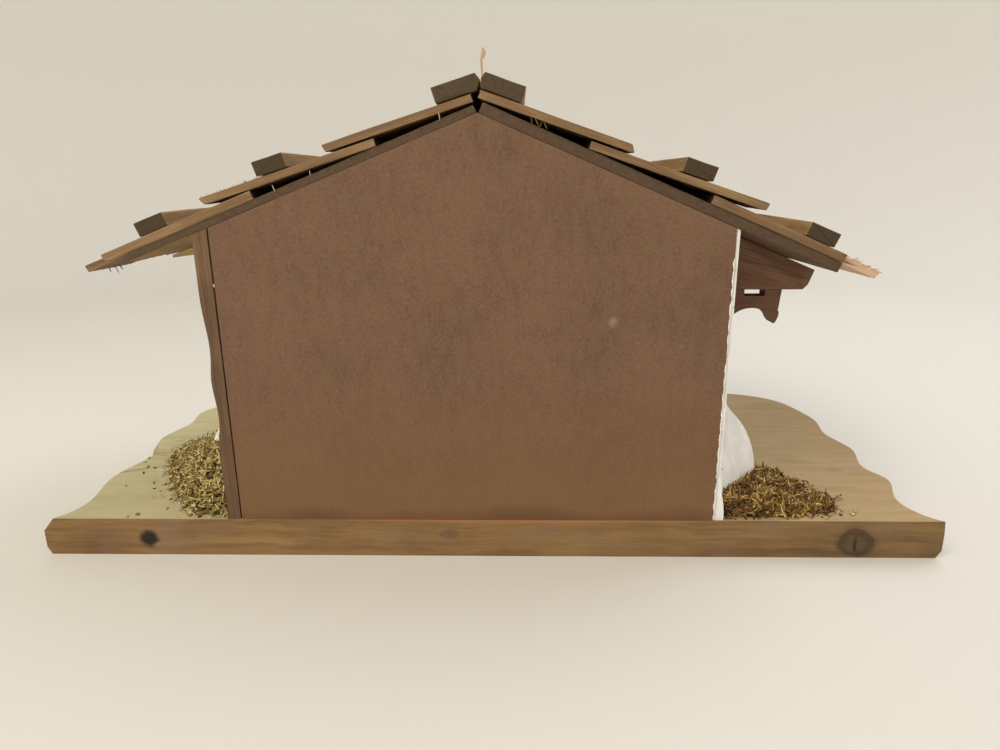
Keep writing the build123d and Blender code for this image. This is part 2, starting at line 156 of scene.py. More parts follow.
class Recipe:
    """Node tree of one material, grown one node at a time. A value may be a number or another node's output."""

    def __init__(self, name: str) -> None:
        self.material = bpy.data.materials.new(name)
        self.material.use_nodes = True
        self.tree = self.material.node_tree
        self.tree.nodes.clear()

    def add(self, kind: str, links: dict | None = None, out: Any = 0, **settings: Any) -> Socket:
        """Add one node.

        Args:
            kind: Blender's name of the node type, without its ShaderNode start.
            links: Socket name or number to a value.
            out: Name or number of the output to return.
            settings: Properties of the node.

        Returns:
            The chosen output.
        """
        node = self.tree.nodes.new("ShaderNode" + kind)
        for key, value in settings.items():
            setattr(node, key, value)
        for key, value in (links or {}).items():
            if isinstance(value, Socket):
                self.tree.links.new(value, node.inputs[key])
            else:
                node.inputs[key].default_value = value
        return node.outputs[out]

    def place(self) -> Socket:
        """Object coordinates."""
        return self.add("TexCoord", out="Object")

    def attribute(self, name: str, out: str = "Fac") -> Socket:
        """A value that each vertex holds."""
        return self.add("Attribute", out=out, attribute_name=name)

    def axis(self, vector: Socket, name: str) -> Socket:
        """One part of a vector."""
        return self.add("SeparateXYZ", {"Vector": vector}, out=name)

    def math(self, operation: str, *values: Any) -> Socket:
        """One sum on numbers."""
        return self.add("Math", dict(enumerate(values)), operation=operation)

    def vector(self, operation: str, *values: Any, out: Any = 0) -> Socket:
        """One sum on vectors."""
        return self.add("VectorMath", dict(enumerate(values)), out=out, operation=operation)

    def stretch(self, place: Socket, *sizes: float) -> Socket:
        """Coordinates that count the given sizes, in metres, along the axes."""
        return self.add("Mapping", {"Vector": place, "Scale": [1 / size for size in sizes]})

    def noise(self, place: Socket, size: float = 1.0, detail: float = 2.0, out: Any = 0, **more: Any) -> Socket:
        """Soft noise with a pattern of the given size, in metres."""
        return self.add("TexNoise", {"Vector": place, "Scale": 1 / size, "Detail": detail, **more}, out=out)

    def sway(self, place: Socket, noisy: Socket, reach: float) -> Socket:
        """Coordinates that wander by a colour's noise, as far as the reach, in metres."""
        centred = self.vector("SUBTRACT", noisy, (0.5,) * 3)
        return self.vector(MULTIPLY_ADD, centred, (reach,) * 3, place)

    def cells(self, place: Socket, spacing: float) -> Socket:
        """Distance from the nearest of the points that lie about a spacing apart."""
        return self.add("TexVoronoi", {"Vector": place, "Scale": 1 / spacing}, out="Distance")

    def span(self, value: Socket, start: float, end: float, low: float = 0.0, high: float = 1.0) -> Socket:
        """A value carried from start and end to low and high, and held there beyond them."""
        ends = {"From Min": start, "From Max": end, "To Min": low, "To Max": high}
        return self.add("MapRange", {"Value": value, **ends})

    def mix(self, share: Any, first: Any, second: Any, how: str = "MIX") -> Socket:
        """Mix of two colours, each an output or a hex code."""
        first, second = (linear(colour) if isinstance(colour, str) else colour for colour in (first, second))
        return self.add("Mix", {0: share, 6: first, 7: second}, out=2, data_type="RGBA", blend_type=how)

    def ramp(self, value: Socket, *stops: tuple[float, str]) -> Socket:
        """Colour ramp. The first two stops are its ends."""
        colour = self.add("ValToRGB", {"Fac": value})
        elements = colour.node.color_ramp.elements
        for number, (place, code) in enumerate(stops):
            element = elements[number] if number < 2 else elements.new(place)
            element.position = place
            element.color = linear(code)
        return colour

    def blend(self, value: Socket, dark: str, light: str) -> Socket:
        """Colour ramp from a dark colour at zero to a light one at one."""
        return self.ramp(value, (0.0, dark), (1.0, light))

    def close(self, colour: Any, roughness: Any, height: Socket, depth: float, **sockets: Any) -> Material:
        """End the material in a bumped surface.

        Args:
            colour: Colour value or output.
            roughness: Roughness value or output.
            height: Height of the relief, from 0 to 1.
            depth: Depth of the relief, in metres.
            sockets: Further values of the surface's sockets, with _ for a space.

        Returns:
            The finished material.
        """
        bump = self.add("Bump", {"Height": height, "Distance": depth, "Strength": 1.0})
        links = {"Base Color": colour, "Roughness": roughness, "Normal": bump}
        links.update({key.replace("_", " "): value for key, value in sockets.items()})
        surface = self.add("BsdfPrincipled", links)
        self.add("OutputMaterial", {"Surface": surface}, out=slice(0, 0))
        return self.material


@dataclass(frozen=True)
class WoodFinish:
    """Stained or raw wood: bands of growth, fine fibre lines, dark end grain and paler worn edges.

    The lengths are those of the pattern: along and across the growth bands, across a fibre, a mottled patch, a pore
    of the end grain and the depth of the relief. The axis is the one that the fibres follow.
    """

    name: str
    dark: str
    middle: str
    light: str
    end: str
    worn: str
    raw: str = "#D8B79B"
    # Near-black painted shade for shingle heads that lie in the roof's gaps
    head_shade: str = "#1A120B"
    coords: Coords = Coords.GRAIN
    along: float = 60 * MM
    band: float = 3.2 * MM
    fibre: float = 0.45 * MM
    patch: float = 22 * MM
    pore: float = 0.7 * MM
    relief: float = 0.2 * MM
    axis: int = 0

    def make(self) -> Material:
        """Build the material on the grain, tone, end, wear, rawness and painted head shade of each vertex."""
        r = Recipe(self.name)
        place = r.attribute("grain", "Vector") if self.coords is Coords.GRAIN else r.place()
        tone, end, wear, bare, head_shade = map(r.attribute, ("tone", "end", "wear", "raw", "head_shade"))

        def stretched(along: float, across: float) -> Socket:
            sizes = [across] * 3
            sizes[self.axis] = along
            return r.stretch(place, *sizes)

        bands = r.noise(stretched(self.along, self.band), detail=3.0)
        fibres = r.noise(stretched(self.along / 4, self.fibre), detail=4.0)
        growth = r.span(r.math("ADD", bands, tone), 0.18, 0.9)
        stained = r.ramp(growth, (0.0, self.dark), (1.0, self.light), (0.5, self.middle))
        lined = r.mix(1.0, stained, r.span(fibres, 0.36, 0.56, 0.76, 1.05), MULTIPLY)
        patches = r.span(r.noise(place, self.patch), 0.3, 0.7, 0.84, 1.12)
        mottled = r.mix(1.0, lined, patches, MULTIPLY)
        scuff = r.span(r.math(MULTIPLY, wear, fibres), 0.3, 0.62, 0.0, 0.55)
        edged = r.mix(scuff, mottled, self.worn)

        rings = r.noise(stretched(self.along * 9, self.band * 0.6), detail=1.0)
        pores = r.noise(place, self.pore)
        open_grain = r.span(r.math(MULTIPLY_ADD, pores, 0.6, rings), 0.5, 1.1, 0.76, 1.2)
        closed = r.mix(end, edged, r.mix(1.0, self.end, open_grain, MULTIPLY))
        torn = r.span(r.math(MULTIPLY_ADD, fibres, 0.8, bare), 0.75, 1.15, 0.0, 0.9)
        # Painted shade: shingle heads in the roof's gaps go almost black
        colour = r.mix(head_shade, r.mix(torn, closed, self.raw), self.head_shade)
        rough = r.span(fibres, 0.0, 1.0, 0.85, 0.62)
        relief = r.add("Mix", {0: end, 2: fibres, 3: pores}, data_type="FLOAT")
        return r.close(colour, rough, relief, self.relief)


@dataclass(frozen=True)
class HardboardFinish:
    """Bare pressed-fibre board: fine specks, soft clouds, an ochre, glue-stained foot and a pale scuff."""

    name: str = "bare pressed hardboard"
    dark: str = "#634736"
    light: str = "#7F5E48"
    olive: str = "#6F5A3B"
    ochre: str = "#7C5A34"
    speck: str = "#4A3425"
    chip: str = "#9A7F6B"
    stain: str = "#5C3E26"
    scuff: str = "#AEA193"
    fibre: float = 1.3 * MM
    smear: tuple[float, ...] = mm(4, 4, 9)
    cloud: float = 34 * MM
    speck_spacing: float = 4.5 * MM
    chip_spacing: float = 15.0 * MM
    foot: float = 18 * MM
    foot_sway: float = -16 * MM
    ochre_height: float = 60 * MM
    stain_reach: tuple[float, ...] = mm(-9, -2)
    scuff_place: tuple[float, ...] = (53.1 * MM, REAR, 108.2 * MM)
    scuff_sway: float = 5 * MM
    scuff_reach: tuple[float, ...] = mm(2.4, 5.2)
    relief: float = 0.1 * MM

    def make(self) -> Material:
        """Build the material on object coordinates."""
        r = Recipe(self.name)
        place = r.place()
        fine = r.noise(place, self.fibre, 5.0, Roughness=0.7)
        smears = r.noise(r.stretch(place, *self.smear), detail=4.0)
        clouds = r.noise(place, self.cloud, 3.0)
        spread = r.math(MULTIPLY_ADD, clouds, 0.45, r.math(MULTIPLY_ADD, smears, 0.35, fine))
        colour = r.blend(r.span(spread, 0.68, 1.12), self.dark, self.light)
        colour = r.mix(r.span(smears, 0.42, 0.7, 0.0, 0.5), colour, self.olive)
        dots = ((self.speck_spacing, self.speck, 0.55), (self.chip_spacing, self.chip, 0.2))
        for spacing, code, strength in dots:
            colour = r.mix(r.span(r.cells(place, spacing), 0.02, 0.08, strength, 0.0), colour, code)
        ragged = r.math(MULTIPLY_ADD, clouds, self.foot_sway, r.axis(place, "Z"))
        colour = r.mix(r.span(ragged, self.foot, self.foot + self.ochre_height, 0.6, 0.0), colour, self.ochre)
        low, high = (self.foot + reach for reach in self.stain_reach)
        colour = r.mix(r.span(ragged, low, high, 0.75, 0.0), colour, self.stain)
        away = r.vector("DISTANCE", place, self.scuff_place, out="Value")
        wobble = r.math(MULTIPLY_ADD, smears, self.scuff_sway, away)
        colour = r.mix(r.span(wobble, *self.scuff_reach, 0.42, 0.0), colour, self.scuff)
        return r.close(colour, r.span(fine, 0.0, 1.0, 0.9, 0.7), fine, self.relief)


@dataclass(frozen=True)
class Knot:
    """A knot in the rear face of the base.

    Its place and half sizes are in millimetres. Its heart, filled with a colour, and its bark ring have a strength
    from 0 to 1.
    """

    x: float
    z: float
    half_width: float
    half_height: float
    heart: float
    bark: float
    fill: str


@dataclass(frozen=True)
class BaseFinish:
    """Stained pine board: long uneven grain, knots in the rear face, a raw arris, and a weathered, cracked top.

    The crack's ends and the stains' places and sizes are in millimetres.
    """

    name: str = "stained pine with a weathered top"
    dark: str = "#674A29"
    light: str = "#9C7B4C"
    blush: str = "#8A7264"
    left_dark: str = "#B0A67E"
    left_light: str = "#C4BC94"
    right_dark: str = "#987D53"
    right_light: str = "#B0956A"
    shade: str = "#7A6444"
    raw: str = "#A9703A"
    knot: str = "#1A100A"
    bark: str = "#3A2817"
    half_width: float = 203 * MM
    top: float = 18 * MM
    warp: float = 30 * MM
    warp_reach: float = 8 * MM
    fray: float = 5 * MM
    fray_reach: float = 3 * MM
    band: tuple[float, ...] = mm(110, 6, 3.5)
    fibre: tuple[float, ...] = mm(30, 0.8, 0.6)
    cloud: float = 38 * MM
    mottle: float = 17 * MM
    relief: float = 0.18 * MM
    knot_depth: float = 30 * MM
    arris_middle: float = 17 * MM
    arris_sway: float = 1.6 * MM
    arris_half_height: float = 0.5 * MM
    arris_reach: tuple[float, ...] = mm(60, 100)
    crack_start: tuple[float, float] = (-198, -50)
    crack_end: tuple[float, float] = (-172, -38.5)
    crack_edge: tuple[float, ...] = mm(0.15, 0.5)
    crack_fade: tuple[float, ...] = mm(2, 3)
    stains: tuple[tuple[float, float, float], ...] = ((160, -31.6, 9), (178.7, -43.5, 5), (-188, -22, 8))
    stain_shape: tuple[float, ...] = (0.7, 1.6, 1.0)
    knots: tuple[Knot, ...] = (
        Knot(-154.4, 8.3, 4.8, 4.2, 1.0, 0.4, "#1A100A"),
        Knot(165.1, 7.9, 9.0, 7.4, 0.85, 0.85, "#54422A"),
        Knot(-16.8, 12.0, 5.0, 2.4, 0.3, 0.2, "#54422A"),
    )

    def make(self) -> Material:
        """Build the material on object coordinates."""
        r = Recipe(self.name)
        place = r.place()
        x, z = (r.axis(place, name) for name in "XZ")
        wander = r.sway(place, r.noise(place, self.warp, out="Color"), self.warp_reach)
        bands = r.noise(r.stretch(wander, *self.band), detail=3.0, Roughness=0.6)
        fibres = r.noise(r.stretch(place, *self.fibre), detail=4.0)
        clouds = r.noise(place, self.cloud, 4.0)
        grain = r.math(MULTIPLY_ADD, fibres, 0.35, bands)
        growth = r.span(r.math(MULTIPLY_ADD, clouds, 0.6, grain), 0.68, 1.28)

        side = r.blend(growth, self.dark, self.light)
        side = r.mix(1.0, side, r.span(x, 0.0, self.half_width, 1.0, 0.7), MULTIPLY)
        mottle = r.noise(wander, self.mottle, 4.0)
        side = r.mix(r.span(mottle, 0.48, 0.72, 0.0, 0.3), side, self.blush)
        frayed = r.sway(wander, r.noise(place, self.fray, 3.0, out="Color"), self.fray_reach)
        for knot in self.knots:
            side = self.add_knot(r, side, frayed, fibres, knot)
        side = self.add_arris(r, side, clouds, x, z)

        left = r.blend(growth, self.left_dark, self.left_light)
        right = r.blend(growth, self.right_dark, self.right_light)
        upper = r.mix(r.span(x, -self.half_width, self.half_width), left, right)
        for across, depth, spread in self.stains:
            away = r.vector("SUBTRACT", wander, (across * MM, depth * MM, self.top))
            far = r.vector("LENGTH", r.vector(MULTIPLY, away, self.stain_shape), out="Value")
            upper = r.mix(r.span(far, 0.0, spread * MM, 0.45, 0.0), upper, self.shade)
        upper = self.add_crack(r, upper, wander)

        facing = r.axis(r.add("NewGeometry", out="Normal"), "Z")
        colour = r.mix(r.span(facing, 0.25, 0.8), side, upper)
        return r.close(colour, r.span(fibres, 0.0, 1.0, 0.85, 0.6), grain, self.relief)

    def add_knot(self, r: Recipe, colour: Socket, place: Socket, fibres: Socket, knot: Knot) -> Socket:
        """Lay a knot over the colour: uneven rings that darken to the bark, about a cracked heart.

        Args:
            r: Recipe to add to.
            colour: Colour so far.
            place: Wandering coordinates.
            fibres: Fine noise of the wood.
            knot: The knot.

        Returns:
            The new colour.
        """
        scale = (1 / (knot.half_width * MM), 1 / self.knot_depth, 1 / (knot.half_height * MM))
        offset = r.vector("SUBTRACT", place, (knot.x * MM, REAR, knot.z * MM))
        local = r.vector(MULTIPLY, offset, scale)
        away = r.vector("LENGTH", local, out="Value")
        ring = r.math("ABSOLUTE", r.math("SUBTRACT", away, 0.8))
        ringed = r.math(MULTIPLY_ADD, r.math("SINE", r.math(MULTIPLY, away, 26.0)), 0.05, ring)
        broken = r.math(MULTIPLY_ADD, fibres, 0.3, ringed)
        crack = r.span(r.math("ABSOLUTE", r.axis(local, "X")), 0.03, 0.15, knot.heart, 0.0)
        split = r.math(MULTIPLY, crack, r.span(away, 0.3, 0.65, 1.0, 0.0))
        colour = r.mix(r.span(away, 0.62, 1.08, knot.heart, 0.0), colour, knot.fill)
        colour = r.mix(r.span(broken, 0.12, 0.5, knot.bark, 0.0), colour, self.bark)
        return r.mix(split, colour, self.knot)

    def add_arris(self, r: Recipe, colour: Socket, clouds: Socket, x: Socket, z: Socket) -> Socket:
        """Bare the wood along the middle of the upper edge, in a stripe that the clouds make uneven."""
        wobble = r.math(MULTIPLY_ADD, clouds, self.arris_sway, z)
        arris = r.span(wobble, self.top - self.arris_half_height, self.top + self.arris_half_height, 0.0, 0.8)
        middle = r.math("ABSOLUTE", r.math("SUBTRACT", x, self.arris_middle))
        return r.mix(r.math(MULTIPLY, arris, r.span(middle, *self.arris_reach, 1.0, 0.0)), colour, self.raw)

    def add_crack(self, r: Recipe, colour: Socket, place: Socket) -> Socket:
        """Draw the thin dark crack near the left end of the top."""
        start, end = np.array(self.crack_start) * MM, np.array(self.crack_end) * MM
        length = float(np.linalg.norm(end - start))
        angle = math.atan2(*(end - start)[::-1])
        offset = r.vector("SUBTRACT", place, (*start, 0.0))
        turned = r.add("VectorRotate", {"Vector": offset, "Angle": -angle}, rotation_type="Z_AXIS")
        along, beside = r.axis(turned, "X"), r.math("ABSOLUTE", r.axis(turned, "Y"))
        begin, fade = self.crack_fade
        whole = r.math(MULTIPLY, r.span(along, 0.0, begin), r.span(along, length, length - fade))
        drawn = r.math(MULTIPLY, r.span(beside, *self.crack_edge, 0.85, 0.0), whole)
        return r.mix(drawn, colour, self.bark)


@dataclass(frozen=True)
class PlasterFinish:
    """Off-white plaster laid on by hand: soft lumps, brush strokes and a little dust."""

    name: str = "hand-laid off-white plaster"
    shade: str = "#E6E5E0"
    light: str = "#F9F8F5"
    dirt: str = "#8C7A5E"
    lump: float = 9 * MM
    stroke: tuple[float, ...] = mm(1.2, 1.2, 14)
    dirt_spacing: float = 7 * MM
    relief: float = 0.9 * MM

    def make(self) -> Material:
        """Build the material on object coordinates."""
        r = Recipe(self.name)
        place = r.place()
        lumps = r.noise(place, self.lump, 4.0)
        strokes = r.noise(r.stretch(place, *self.stroke), detail=3.0)
        relief = r.math(MULTIPLY_ADD, strokes, 0.35, lumps)
        white = r.blend(r.span(relief, 0.45, 0.9), self.shade, self.light)
        dirt = r.span(r.cells(place, self.dirt_spacing), 0.04, 0.1, 0.7, 0.0)
        return r.close(r.mix(dirt, white, self.dirt), 0.85, relief, self.relief)


@dataclass(frozen=True)
class FlakeFinish:
    """Loose plant matter: each flake has its own tint along a ramp of colours."""

    name: str
    stops: tuple[tuple[float, str], ...]
    fine: float = 0.9 * MM
    relief: float = 0.15 * MM

    def make(self) -> Material:
        """Build the material on each flake's tint and on object coordinates."""
        r = Recipe(self.name)
        fine = r.noise(r.place(), self.fine, 3.0)
        varied = r.math(MULTIPLY_ADD, fine, 0.35, r.attribute("tint"))
        return r.close(r.ramp(r.math("SUBTRACT", varied, 0.17), *self.stops), 0.9, fine, self.relief)


@dataclass(frozen=True)
class GlueFinish:
    """Set hot glue: milky, a little clear and glossy."""

    name: str = "milky set glue"
    colour: str = "#C9C2AE"
    cloud: float = 1.5 * MM
    relief: float = 0.05 * MM
    clear: float = 1 * MM

    def make(self) -> Material:
        """Build the material on object coordinates."""
        r = Recipe(self.name)
        clouds = r.noise(r.place(), self.cloud)
        milk = {"Subsurface_Weight": 0.2, "Subsurface_Scale": self.clear}
        return r.close(linear(self.colour), r.span(clouds, 0.0, 1.0, 0.25, 0.45), clouds, self.relief, **milk)


def make_finishes() -> Stock:
    """Make every material of the stable, once, under the short name of its finish."""
    sawn, board = ("#73562E", "#917142", "#AE8C56"), ("#523E29", "#8A6E4C")
    kept = {"coords": Coords.OBJECT}
    finishes = {
        # Split larch shingles under a thin brown stain
        "shingle": WoodFinish(
            "split stained shingle wood", "#614B32", "#826444", "#9B7E56", "#694F33", "#A3865E", relief=0.3 * MM
        ),
        # Sawn roof battens, dark where the saw left the end grain open
        "batten": WoodFinish("sawn batten wood", *sawn, "#42321A", "#BC9B66", band=2.2 * MM),
        # Ridge caps, sawn from the same stock but with paler end grain
        "cap": WoodFinish("sawn ridge cap wood", *sawn, "#4A3A24", "#BC9B66", band=2.2 * MM),
        # Rough sawn roof boards: the timber side's painted pale as bounce light under its eave, the plaster side's
        # stained and darkened with painted shade
        "timber_board": WoodFinish("sawn roof board wood painted pale with bounce light", "#866633", "#AA8542", "#C69E54", *board),
        "plaster_board": WoodFinish("stained sawn roof board wood", "#4A3118", "#5C3F20", "#6E4E2A", *board),
        # Stained timber of the gable frame
        "timber": WoodFinish("dark stained timber", "#523A27", "#715239", "#8B6A4A", "#523B28", "#977757"),
        # Brackets under the plaster side's eave, stained a little redder
        "bracket": WoodFinish(
            "stained bracket timber", "#5C3F2A", "#7A5439", "#8E6748", "#5A4230", "#8F7054", band=4.5 * MM
        ),
        # Brackets under the timber side's eave, painted pale with bounce light though they sit in the eave's shade
        "bounce_lit_bracket": WoodFinish(
            "bracket wood painted pale with bounce light", "#AE985F", "#D4BC80", "#E8D49C", "#B6A06E", "#E8D8AC", band=4.5 * MM
        ),
        # The brackets' stain on the corbels, which keep their solids
        "carved": WoodFinish(
            "stained carved timber", "#553B29", "#714E38", "#866249", "#5A4230", "#8F7054", band=4.5 * MM, **kept
        ),
        # Wall boards on edge, stained over a wavy sawn face
        "wall": WoodFinish(
            "stained wall board", "#533C26", "#6D5138", "#836446", "#5A4230", "#8F7054", axis=2, band=2.4 * MM, **kept
        ),
        # Raw torn wood of the splinter on the ridge
        "splinter": WoodFinish(
            "raw splintered wood", "#BF9670", "#D3AE88", "#E2C4A2", "#B58B5E", "#E6CDB0",
            axis=2, along=12 * MM, band=0.8 * MM, fibre=0.2 * MM, relief=0.08 * MM, **kept,
        ),
        # Rear panel, base board, plaster coat and foot, and glue strings
        "hardboard": HardboardFinish(),
        "base": BaseFinish(),
        "plaster": PlasterFinish(),
        "glue": GlueFinish(),
        # Dried moss, straw and olive on the timber side, browner on the plaster side
        "straw_moss": FlakeFinish(
            "dried straw-coloured moss",
            ((0.0, "#2E1D0C"), (1.0, "#EAE0AE"), (0.28, "#654D22"), (0.58, "#A08A48"), (0.8, "#CDBA76")),
        ),
        "brown_moss": FlakeFinish(
            "dried brown moss",
            ((0.0, "#281808"), (1.0, "#E2CD92"), (0.3, "#5C401A"), (0.6, "#946E30"), (0.82, "#C29C54")),
        ),
        # Torn raw fibres on the shingles
        "fray": FlakeFinish("torn raw wood fibre", ((0.0, "#8A6A3C"), (1.0, "#EBCFB2"), (0.45, "#C9A173"))),
    }
    return {name: finish.make() for name, finish in finishes.items()}


def make_piece(
    name: str,
    points: Array,
    faces: list,
    material: Material,
    values: dict[str, Array] | None = None,
    flat: Array | None = None,
) -> bpy.types.Object:
    """Make one object that rides on the stable.

    Args:
        name: Name of the piece.
        points: Vertices, in metres.
        faces: Corner numbers of each face, seen from outside counter-clockwise.
        material: Finish of the piece.
        values: Attribute name to one number or vector for each vertex.
        flat: Numbers of the faces that are shaded flat.

    Returns:
        The new object.
    """
    mesh = bpy.data.meshes.new(name)
    mesh.from_pydata(points, [], faces)
    smooth = np.ones(len(mesh.polygons), bool)
    if flat is not None:
        smooth[flat] = False
    mesh.polygons.foreach_set("use_smooth", smooth)
    for key, data in (values or {}).items():
        kind, field_name = ("FLOAT_VECTOR", "vector") if data.ndim == 2 else ("FLOAT", "value")
        mesh.attributes.new(key, kind, "POINT").data.foreach_set(field_name, data.astype(np.float32).ravel())
    mesh.materials.append(material)
    piece = bpy.data.objects.new(name, mesh)
    bpy.context.scene.collection.objects.link(piece)
    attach(piece, BODY)
    return piece


def dress(material: Material, *nodes: str) -> None:
    """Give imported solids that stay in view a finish."""
    for node in nodes:
        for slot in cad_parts[node].material_slots:
            slot.material = material


def corners_at(
    points: Array, y: float, shortest: float = 1.0 * MM, near: float = 0.01 * MM, bend: float = 0.01
) -> Array:
    """Corners of a straight piece's outline where it meets a plane across the stable.

    The outline's points are sorted by their angle about their middle. Its short edges, which belong to roundings,
    are left out, and so is an edge that goes straight on from the one before. Each pair of neighbouring edges is
    carried on to where they cross.

    Args:
        points: Vertices of the solid.
        y: Depth of the plane.
        shortest: Shortest edge that counts as a side.
        near: How far from the plane a point may lie.
        bend: Least sine of the angle between two sides.

    Returns:
        X and Z of each corner, counter-clockwise.
    """
    ring = np.unique(np.round(points[np.abs(points[:, 1] - y) < near][:, [0, 2]], OUTLINE_DECIMALS), axis=0)
    offset = ring - ring.mean(axis=0)
    ring = ring[np.argsort(np.arctan2(offset[:, 1], offset[:, 0]))]
    edges = np.roll(ring, -1, axis=0) - ring
    lengths = np.linalg.norm(edges, axis=1)
    sides = lengths > shortest
    starts, ways = ring[sides], edges[sides] / lengths[sides, None]
    before = np.roll(ways, 1, axis=0)
    bent = np.abs(ways[:, 0] * before[:, 1] - ways[:, 1] * before[:, 0]) > bend
    starts, ways = starts[bent], ways[bent]
    normals = np.stack([ways[:, 1], -ways[:, 0]], axis=1)
    levels = (normals * starts).sum(axis=1)
    pairs = np.stack([np.roll(normals, 1, axis=0), normals], axis=1)
    return np.linalg.solve(pairs, np.stack([np.roll(levels, 1), levels], axis=1)[..., None])[..., 0]


@dataclass
class Ring:
    """Rounded outline of a straight piece: points, outward directions and how close each is to a corner."""

    points: Array
    normals: Array
    wear: Array


def rounded_ring(corners: Array, radius: float, counts: Array, arc: int = 4) -> Ring:
    """Round off the corners of an outline and divide its sides.

    Each corner becomes an arc about the point where its two sides, moved in by the radius, cross.

    Args:
        corners: X and Z of the corners, counter-clockwise.
        radius: Radius of the rounding.
        counts: Number of points inside each side.
        arc: Number of steps in each arc.

    Returns:
        The outline.
    """
    sides = unit(np.roll(corners, -1, axis=0) - corners)
    normals = np.stack([sides[:, 1], -sides[:, 0]], axis=1)
    before = np.roll(normals, 1, axis=0)
    levels = np.stack([(before * corners).sum(axis=1), (normals * corners).sum(axis=1)], axis=1) - radius
    centres = np.linalg.solve(np.stack([before, normals], axis=1), levels[..., None])[..., 0]
    first = np.arctan2(before[:, 1], before[:, 0])
    turn = (np.arctan2(normals[:, 1], normals[:, 0]) - first) % (2 * np.pi)
    angles = first[:, None] + turn[:, None] * np.linspace(0, 1, arc + 1)
    ways = np.stack([np.cos(angles), np.sin(angles)], axis=2)
    arcs = centres[:, None] + radius * ways
    points, outward, wear = [], [], []
    for number, count in enumerate(counts):
        share = np.linspace(0, 1, count + 2)[1:-1, None]
        start, end = arcs[number, -1], arcs[(number + 1) % len(corners), 0]
        points += [arcs[number], start + share * (end - start)]
        outward += [ways[number], np.repeat(normals[number][None], count, axis=0)]
        wear += [np.ones(arc + 1), np.zeros(count)]
    return Ring(np.concatenate(points), np.concatenate(outward), np.concatenate(wear))


def belt_faces(stations: int, around: int) -> Array:
    """Corner numbers of the quads between neighbouring closed outlines, one outline at each station."""
    station, spot = np.meshgrid(np.arange(stations - 1), np.arange(around), indexing="ij")
    beside = (spot + 1) % around
    here, ahead = station * around, (station + 1) * around
    return np.stack([here + spot, ahead + spot, ahead + beside, here + beside], axis=2).reshape(-1, 4)


QUARTER_TURN = np.radians([0, 35, 65, 90])
LUMP_SIZES = mm(40, 9, 9)
RIDGE_SIZES = mm(60, 2.6, 2.6)
TEAR_SIZES = mm(12, 5, 5)
TEAR_NOISE = 0.12
TEAR_LEAN = 0.9
TEAR_LEAST = 0.05
TEAR_EDGE = 0.45
RAG_SIZES = mm(1000, 3, 3)
RAG_LENGTH = 7 * MM
GRAIN_SHIFT = 0.7

SLIVER_CORNERS = np.radians([90, 210, 330])
SLIVER_TAPER = 0.6
FLAKE_STATIONS = 5
STRAND_STATIONS = 7


